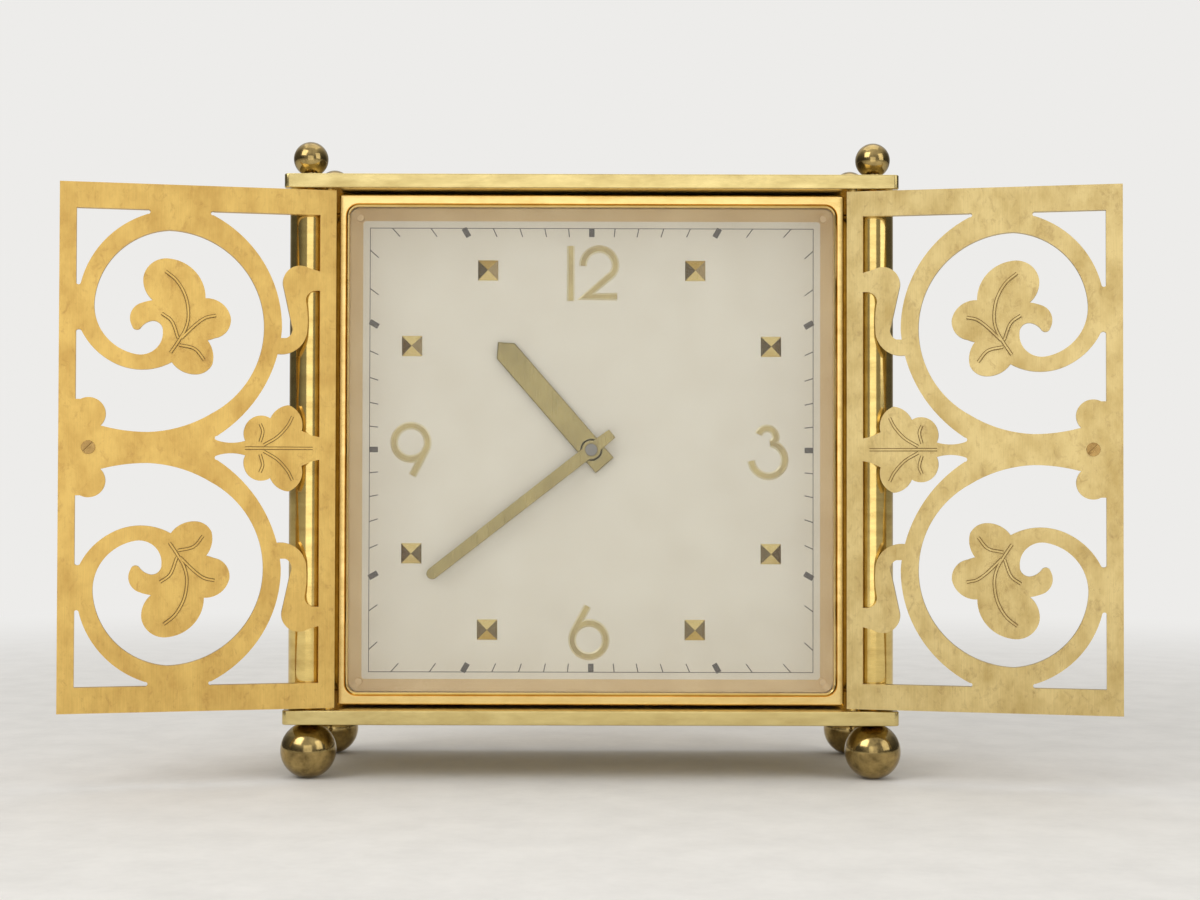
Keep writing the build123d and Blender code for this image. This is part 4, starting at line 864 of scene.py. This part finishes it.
def numeralForm(form):
    for part in numeralShape["one"]:
        stroke(form, part)
    curve = [point for arc in numeralShape["two"] for point in arcPoints(*arc)]
    path = curve + numeralShape["twoFoot"][1:]
    stroke(form, distinct(path))
    for part, lift in (("three", 0.0), ("threeLow", numeralShape["step"])):
        curve = [point for arc in numeralShape[part] for point in arcPoints(*arc)]
        stroke(form, distinct(curve), False, lift)
    for centre, tail, end in numeralShape["rings"]:
        radius = numeralShape["ringRadius"]
        turns = [2 * pi * k / eyeSteps for k in range(eyeSteps)]
        ring = [(centre[0] + radius * cos(turn), centre[1] + radius * sin(turn)) for turn in turns]
        stroke(form, ring, True)
        stroke(form, [tail, end], False, numeralShape["step"])


numerals = newObject(
    "applied-numerals", numeralForm, materials["numeralBrass"], numeralShape["sharp"],
    materials["numeralEdgeHighlight"],
)
place(numerals, "stand", "numeral_brass", "numerals")

# Four-sided pyramids at the eight hours without a numeral
markers = {"size": 4.05, "height": 1.1, "circle": 41.5, "foot": 0.06, "sharp": 5}


def markerForm(form):
    half, tall, foot = markers["size"] / 2 * mm, markers["height"] * mm, markers["foot"] * mm
    for hour in range(12):
        if hour % 3 == 0:
            continue
        angle = radians(30 * hour)
        x, z = markers["circle"] * mm * sin(angle), dialCentre.z + markers["circle"] * mm * cos(angle)
        rings = [
            [form.verts.new((x + sx * half, y, z + sz * half)) for sx, sz in corners]
            for y in (dialCentre.y, dialCentre.y - foot)
        ]
        tip = form.verts.new((x, dialCentre.y - tall, z))
        form.faces.new(rings[0])
        bridge(form, *rings)
        for k in range(4):
            facet = form.faces.new((rings[1][k - 1], rings[1][k], tip))
            # Side facets take the second material, the painted shade
            facet.material_index = (k + 1) % 2


# The facets turned to the sides take a darker copy of the brass: painted shade for the dim room they
# mirror
pyramids = newObject(
    "hour-marker-pyramids", markerForm, materials["markerBrass"], markers["sharp"],
    materials["markerPaintedShade"],
)
place(pyramids, "stand", "marker_brass", "hour_markers")
print("bezel, surround, hour hand and numerals")


# Minute track: a square line and sixty radial ticks, printed on the face sheet
track = {
    "half": 44.4, "line": 0.14, "band": 1.7, "tick": 0.2, "hourTick": 1.1, "ink": 0.02, "minutes": 60,
    "sharp": 40,
}


def faceForm(form):
    half = dialFace["width"] / 2 * mm
    outline = [(sx * half, sz * half) for sx, sz in corners]
    levels = [(0.0, dialFront), (0.0, dialFront - dialFace["thickness"] * mm)]
    ringed(
        form, outline, dialFace["hole"] * mm, levels,
        lambda x, z, level: Vector((x, level, dialCentre.z + z)),
    )


put("dial-face-sheet", faceForm, "dialSilver", track["sharp"], "stand", "dial_silver")

def trackLine(form):
    half, line, ink = track["half"] * mm, track["line"] * mm, track["ink"] * mm
    outer, inner = half + line / 2, half - line / 2
    loops = []
    for level in (dialCentre.y, dialCentre.y - ink):
        for reach in (outer, inner):
            loops.append([
                form.verts.new((sx * reach, level, dialCentre.z + sz * reach))
                for sx, sz in corners
            ])
    backOuter, backInner, frontOuter, frontInner = loops
    for first, second in (
        (backOuter, backInner), (frontOuter, frontInner), (backOuter, frontOuter),
        (backInner, frontInner),
    ):
        bridge(form, first, second)


put("minute-track-line", trackLine, "printGrey", track["sharp"], "stand", "dial_silver")


def tickTree():
    # Ticks stand on the rays of the minutes, between the square line and a smaller square
    tree, given, output = newGeometryTree("Minute ticks")
    ids = groupInputs(
        tree, ("Count", "Int", 60), ("Half", "Float", 0.044), ("Band", "Float", 0.0017),
        ("Tick width", "Float", 0.0002), ("Hour width", "Float", 0.001), ("Ink", "Float", 0.00002),
        ("Centre", "Vector", (0.0, 0.0, 0.0)), ("Material", "Material", None),
    )

    def calc(operation, *items):
        node = tree.nodes.new("ShaderNodeMath")
        node.operation = operation
        for item, socket in zip(items, node.inputs):
            if isinstance(item, (int, float)):
                socket.default_value = item
            else:
                tree.links.new(item, socket)
        return node.outputs[0]

    index = addNode(tree, "GeometryNodeInputIndex").outputs["Index"]
    angle = calc("DIVIDE", calc("MULTIPLY", index, 2 * pi), given.outputs["Count"])
    sine, cosine = calc("SINE", angle), calc("COSINE", angle)
    widest = calc("MAXIMUM", calc("ABSOLUTE", sine), calc("ABSOLUTE", cosine))
    length = calc("DIVIDE", given.outputs["Band"], widest)
    reach = calc("DIVIDE", given.outputs["Half"], widest)
    middle = calc("SUBTRACT", reach, calc("MULTIPLY", length, 0.5))
    spot = addNode(tree, "ShaderNodeCombineXYZ",
                   links={"X": calc("MULTIPLY", sine, middle), "Z": calc("MULTIPLY", cosine, middle)})
    moved = addNode(tree, "ShaderNodeVectorMath", {"operation": "ADD"},
                    links={0: spot.outputs["Vector"], 1: given.outputs["Centre"]})
    points = addNode(tree, "GeometryNodePoints",
                     links={"Count": given.outputs["Count"], "Position": moved.outputs["Vector"]})
    isHour = calc("LESS_THAN", calc("MODULO", index, 5.0), 0.5)
    narrow, wide = given.outputs["Tick width"], given.outputs["Hour width"]
    width = calc("ADD", narrow, calc("MULTIPLY", isHour, calc("SUBTRACT", wide, narrow)))
    size = addNode(
        tree, "ShaderNodeCombineXYZ", links={"X": width, "Y": given.outputs["Ink"], "Z": length}
    )
    turn = addNode(tree, "ShaderNodeCombineXYZ", links={"Y": angle})
    tick = addNode(tree, "GeometryNodeMeshCube", values={"Size": (1.0, 1.0, 1.0)})
    ring = addNode(
        tree, "GeometryNodeInstanceOnPoints",
        links={"Points": points.outputs["Points"], "Instance": tick.outputs["Mesh"],
               "Rotation": turn.outputs["Vector"], "Scale": size.outputs["Vector"]},
    )
    finishTree(tree, ring.outputs["Instances"], given.outputs["Material"], output)
    return tree, ids


ticks, tickIds = tickTree()
tickHolder = linked("minute-track-ticks", bpy.data.meshes.new("minute-track-ticks"))
ink = track["ink"] * mm
tickRing = runTree(tickHolder, ticks, {
    tickIds["Count"]: track["minutes"], tickIds["Half"]: track["half"] * mm,
    tickIds["Band"]: track["band"] * mm,
    tickIds["Tick width"]: track["tick"] * mm, tickIds["Hour width"]: track["hourTick"] * mm,
    tickIds["Ink"]: ink, tickIds["Centre"]: (0.0, dialCentre.y - ink / 2, dialCentre.z),
    tickIds["Material"]: materials["printGrey"],
})
place(tickRing, "stand", "dial_silver")
print("minute track")

# Slotted screws at the back, and the knurled rim of the setting knob
backScrews = {
    "radius": 1.4, "height": 0.7, "slot": 0.35, "slotDepth": 0.35, "steps": 32, "halfSteps": 14,
    "seed": 4,
}


def halfHead(form, sign, radius, slot, low, high):
    # One half of a slotted head, in front of or behind the slot
    reach = sqrt(radius**2 - slot**2)
    start, steps = atan2(slot, reach), backScrews["halfSteps"]
    turns = [start + (pi - 2 * start) * k / steps for k in range(steps + 1)]
    outline = [(radius * cos(turn), sign * radius * sin(turn)) for turn in turns]
    slab(form, outline if sign > 0 else outline[::-1], low, high)


def screwHead(form):
    radius, height = backScrews["radius"] * mm, backScrews["height"] * mm
    slot, floor = backScrews["slot"] / 2 * mm, height - backScrews["slotDepth"] * mm
    turns = [2 * pi * k / backScrews["steps"] for k in range(backScrews["steps"])]
    outline = [(radius * cos(turn), radius * sin(turn)) for turn in turns]
    slab(form, outline, 0.0, floor)
    halfHead(form, 1, radius, slot, floor, height)
    halfHead(form, -1, radius, slot, floor, height)


def screwTree():
    tree, given, output = newGeometryTree("Slotted screws")
    ids = groupInputs(tree, ("Head", "Object", None), ("Seed", "Int", 1), ("Material", "Material", None))
    head = addNode(tree, "GeometryNodeObjectInfo", links={"Object": given.outputs["Head"]})
    spin = addNode(tree, "FunctionNodeRandomValue", {"data_type": "FLOAT"},
                   links={"Seed": given.outputs["Seed"]})
    spin.inputs[3].default_value = pi
    turn = addNode(tree, "ShaderNodeCombineXYZ", values={"X": -pi / 2},
                   links={"Y": spin.outputs[1]})
    heads = addNode(tree, "GeometryNodeInstanceOnPoints",
                    links={"Points": given.outputs["Geometry"], "Instance": head.outputs["Geometry"],
                           "Rotation": turn.outputs["Vector"]})
    finishTree(tree, heads.outputs["Instances"], given.outputs["Material"], output)
    return tree, ids


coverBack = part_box("rear_cover")[1][1]
screwLow, screwHigh = (Vector(v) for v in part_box("cover_screws"))
screwSpan = backScrews["radius"] * mm
screwMesh = bpy.data.meshes.new("rear-cover-screws")
screwMesh.from_pydata([
    (x, coverBack, z)
    for x in (screwLow.x + screwSpan, screwHigh.x - screwSpan)
    for z in (screwLow.z + screwSpan, screwHigh.z - screwSpan)
], [], [])
screwHolder = linked("rear-cover-screws", screwMesh)
headModel = newObject("screw-head-model", screwHead, materials["steel"])
screws, screwIds = screwTree()
backHeads = runTree(screwHolder, screws, {
    screwIds["Head"]: headModel, screwIds["Seed"]: backScrews["seed"],
    screwIds["Material"]: materials["steel"],
})
bpy.data.objects.remove(headModel)
place(backHeads, "stand", "steel", "cover_screws")

settingKnob = {"flutes": 40, "fluteDepth": 0.25, "edge": 0.45, "pointsPerFlute": 4, "sharp": 35}


def knobForm(form):
    low, high = (Vector(v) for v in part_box("setting_knob"))
    radius = (high.x - low.x) / 2
    centre = jointPlace("setting_arbor_turn")
    edge, deep = settingKnob["edge"] * mm, settingKnob["fluteDepth"] * mm
    count = settingKnob["flutes"] * settingKnob["pointsPerFlute"]
    rings = []
    for y, inset, fluted in (
        (low.y, edge, 0), (low.y + edge, 0, 1), (high.y - edge, 0, 1), (high.y, edge, 0),
    ):
        ring = []
        for k in range(count):
            angle = 2 * pi * k / count
            wave = deep * (0.5 - 0.5 * cos(settingKnob["flutes"] * angle)) * fluted
            reach = radius - inset - wave - (deep / 2) * (1 - fluted)
            spot = (centre.x + reach * cos(angle), y, centre.z + reach * sin(angle))
            ring.append(form.verts.new(spot))
        rings.append(ring)
    form.faces.new(rings[0])
    form.faces.new(rings[-1][::-1])
    for first, second in zip(rings, rings[1:]):
        bridge(form, first, second)


put("setting-knob-knurled", knobForm, "movementBrass", settingKnob["sharp"],
    "setting_body", "movement_brass", "setting_knob")
print("screws and setting knob")

# CAD pieces whose shape is right take the finished materials
finishes = {
    "steel": (
        "case_screws", "hinge_pins", "setting_arbor", "barrel_arbor", "ratchet_wheel", "click",
        "pallet_fork", "escape_wheel", "regulator_lever", "movement_screws",
    ),
    "springSteel": ("mainspring", "hairspring", "click_spring"),
    "movementBrass": (
        "movement_front_plate", "movement_back_plate", "movement_pillars", "barrel", "barrel_cover",
        "centre_wheel", "third_wheel", "fourth_wheel", "intermediate_wheel", "minute_wheel",
        "hour_wheel", "balance_wheel", "balance_cock",
    ),
    "dialSilver": ("dial",),
    "caseBrass": ("case_spacers",),
}
for material, nodes in finishes.items():
    for node in nodes:
        for socket in frame["nodes"][node].material_slots:
            socket.material = materials[material]
print("finished CAD pieces:", sum(len(nodes) for nodes in finishes.values()))

# Pale floor, soft studio light and a pale surround that only the camera and the gloss see
studio = {
    "floor": "#ECEAE6", "floorDark": "#E4E2DE", "floorRough": 0.85, "floorGrain": 2.0,
    "floorRelief": 0.02, "floorHalf": 9, "floorDrop": 0.00002, "background": "#EDECEA",
    "fade": (0.18, 0.5), "ambient": 0.62,
    "rise": (0.05, 0.75), "riseStrength": (0.34, 1.0), "sides": (0.45, 0.9), "sideStrength": (1.0, 0.3),
}
floorMesh = bpy.data.meshes.new("floor")
half = studio["floorHalf"]
floorMesh.from_pydata([(sx * half, sy * half, 0) for sx, sy in corners], [], [(0, 1, 2, 3)])
floor = linked("floor", floorMesh)
floor.location.z = -studio["floorDrop"]
floorMaterial = finePaint(
    "Matt studio floor", studio["floor"], studio["floorDark"], studio["floorRough"], 0.0,
    studio["floorGrain"], studio["floorRelief"],
)
floorMesh.materials.append(floorMaterial)

# Far off, the camera sees the floor turn into the background
tree = floorMaterial.node_tree
shader, output = tree.nodes["Principled BSDF"], tree.nodes["Material Output"]
spot = addNode(tree, "ShaderNodeTexCoord")
radius = addNode(
    tree, "ShaderNodeVectorMath", {"operation": "LENGTH"}, links={0: spot.outputs["Object"]}
)
far = spread(tree, radius.outputs["Value"], studio["fade"], (0.0, 1.0), True)
path = addNode(tree, "ShaderNodeLightPath")
fade = addNode(
    tree, "ShaderNodeMath", {"operation": "MULTIPLY"}, links={0: far, 1: path.outputs["Is Camera Ray"]}
)
glow = addNode(tree, "ShaderNodeEmission", values={"Color": colour(studio["background"])})
blend = addNode(
    tree, "ShaderNodeMixShader",
    links={0: fade.outputs["Value"], 1: shader.outputs["BSDF"], 2: glow.outputs["Emission"]},
)
tree.links.new(blend.outputs["Shader"], output.inputs["Surface"])

world = bpy.data.worlds.new("studio")
scene.world = world
world.use_nodes = True
tree = world.node_tree
path = addNode(tree, "ShaderNodeLightPath")
back = tree.nodes["Background"]
back.inputs["Color"].default_value = colour(studio["background"])

# What the gloss sees: bright overhead, dim at the sides
toward = addNode(tree, "ShaderNodeTexCoord")
parts = addNode(tree, "ShaderNodeSeparateXYZ", links={"Vector": toward.outputs["Generated"]})
overhead = spread(tree, parts.outputs["Z"], studio["rise"], studio["riseStrength"], True)
sideways = addNode(tree, "ShaderNodeMath", {"operation": "ABSOLUTE"}, links={0: parts.outputs["X"]})
dim = spread(tree, sideways.outputs["Value"], studio["sides"], studio["sideStrength"], True)
mirrored = addNode(tree, "ShaderNodeMath", {"operation": "MULTIPLY"}, links={0: overhead, 1: dim})
diffuse = addNode(
    tree, "ShaderNodeMix", {"data_type": "FLOAT"}, {"A": studio["ambient"]},
    {"Factor": path.outputs["Is Glossy Ray"], "B": mirrored.outputs["Value"]},
)
seen = addNode(
    tree, "ShaderNodeMath", {"operation": "MAXIMUM"},
    links={0: path.outputs["Is Camera Ray"], 1: path.outputs["Is Transmission Ray"]},
)
strength = addNode(
    tree, "ShaderNodeMix", {"data_type": "FLOAT"}, {"B": 1.0},
    {"Factor": seen.outputs["Value"], "A": diffuse.outputs["Result"]},
)
tree.links.new(strength.outputs["Result"], back.inputs["Strength"])

# Soft lamps: name, position, target, width, height and power
for name, position, target, width, height, power in (
    ("key light", (-0.5, -0.5, 0.6), (0, 0, 0.06), 0.5, 0.5, 2.3),
    ("fill light", (0.6, -0.45, 0.35), (0, 0, 0.06), 0.4, 0.5, 1.0),
    ("top light", (0.0, 0.1, 0.85), (0, 0, 0.05), 0.8, 0.6, 1.6),
    ("front light", (0.0, -0.55, 0.1), (0, 0, 0.07), 0.34, 0.34, 0.42),
):
    lamp = bpy.data.lights.new(name, "AREA")
    lamp.shape = "RECTANGLE"
    lamp.size, lamp.size_y = width, height
    lamp.energy = power
    holder = linked(name, lamp)
    holder.location = position
    holder.rotation_euler = (Vector(target) - Vector(position)).to_track_quat("-Z", "Y").to_euler()

# Camera at the photograph's viewpoint; the focal length is in widths of the picture
view = {
    "location": (0.0010039, -0.3923684, 0.0582987), "turn": (0.9607, -0.1351, -0.1133),
    "focal": 1898.8 / 1200, "sensor": 36.0, "near": 0.01,
}
cameraData = bpy.data.cameras.new("view")
cameraData.sensor_width = view["sensor"]
cameraData.sensor_fit = "HORIZONTAL"
cameraData.lens = view["focal"] * view["sensor"]
cameraData.clip_start = view["near"]
camera = linked("view", cameraData)
lean = Euler([radians(a) for a in view["turn"]], "XYZ").to_matrix().to_4x4()
camera.matrix_world = Matrix.Translation(view["location"]) @ lean @ Matrix.Rotation(pi / 2, 4, "X")
scene.camera = camera
scene.view_settings.view_transform = "Standard"

print("scene ready")
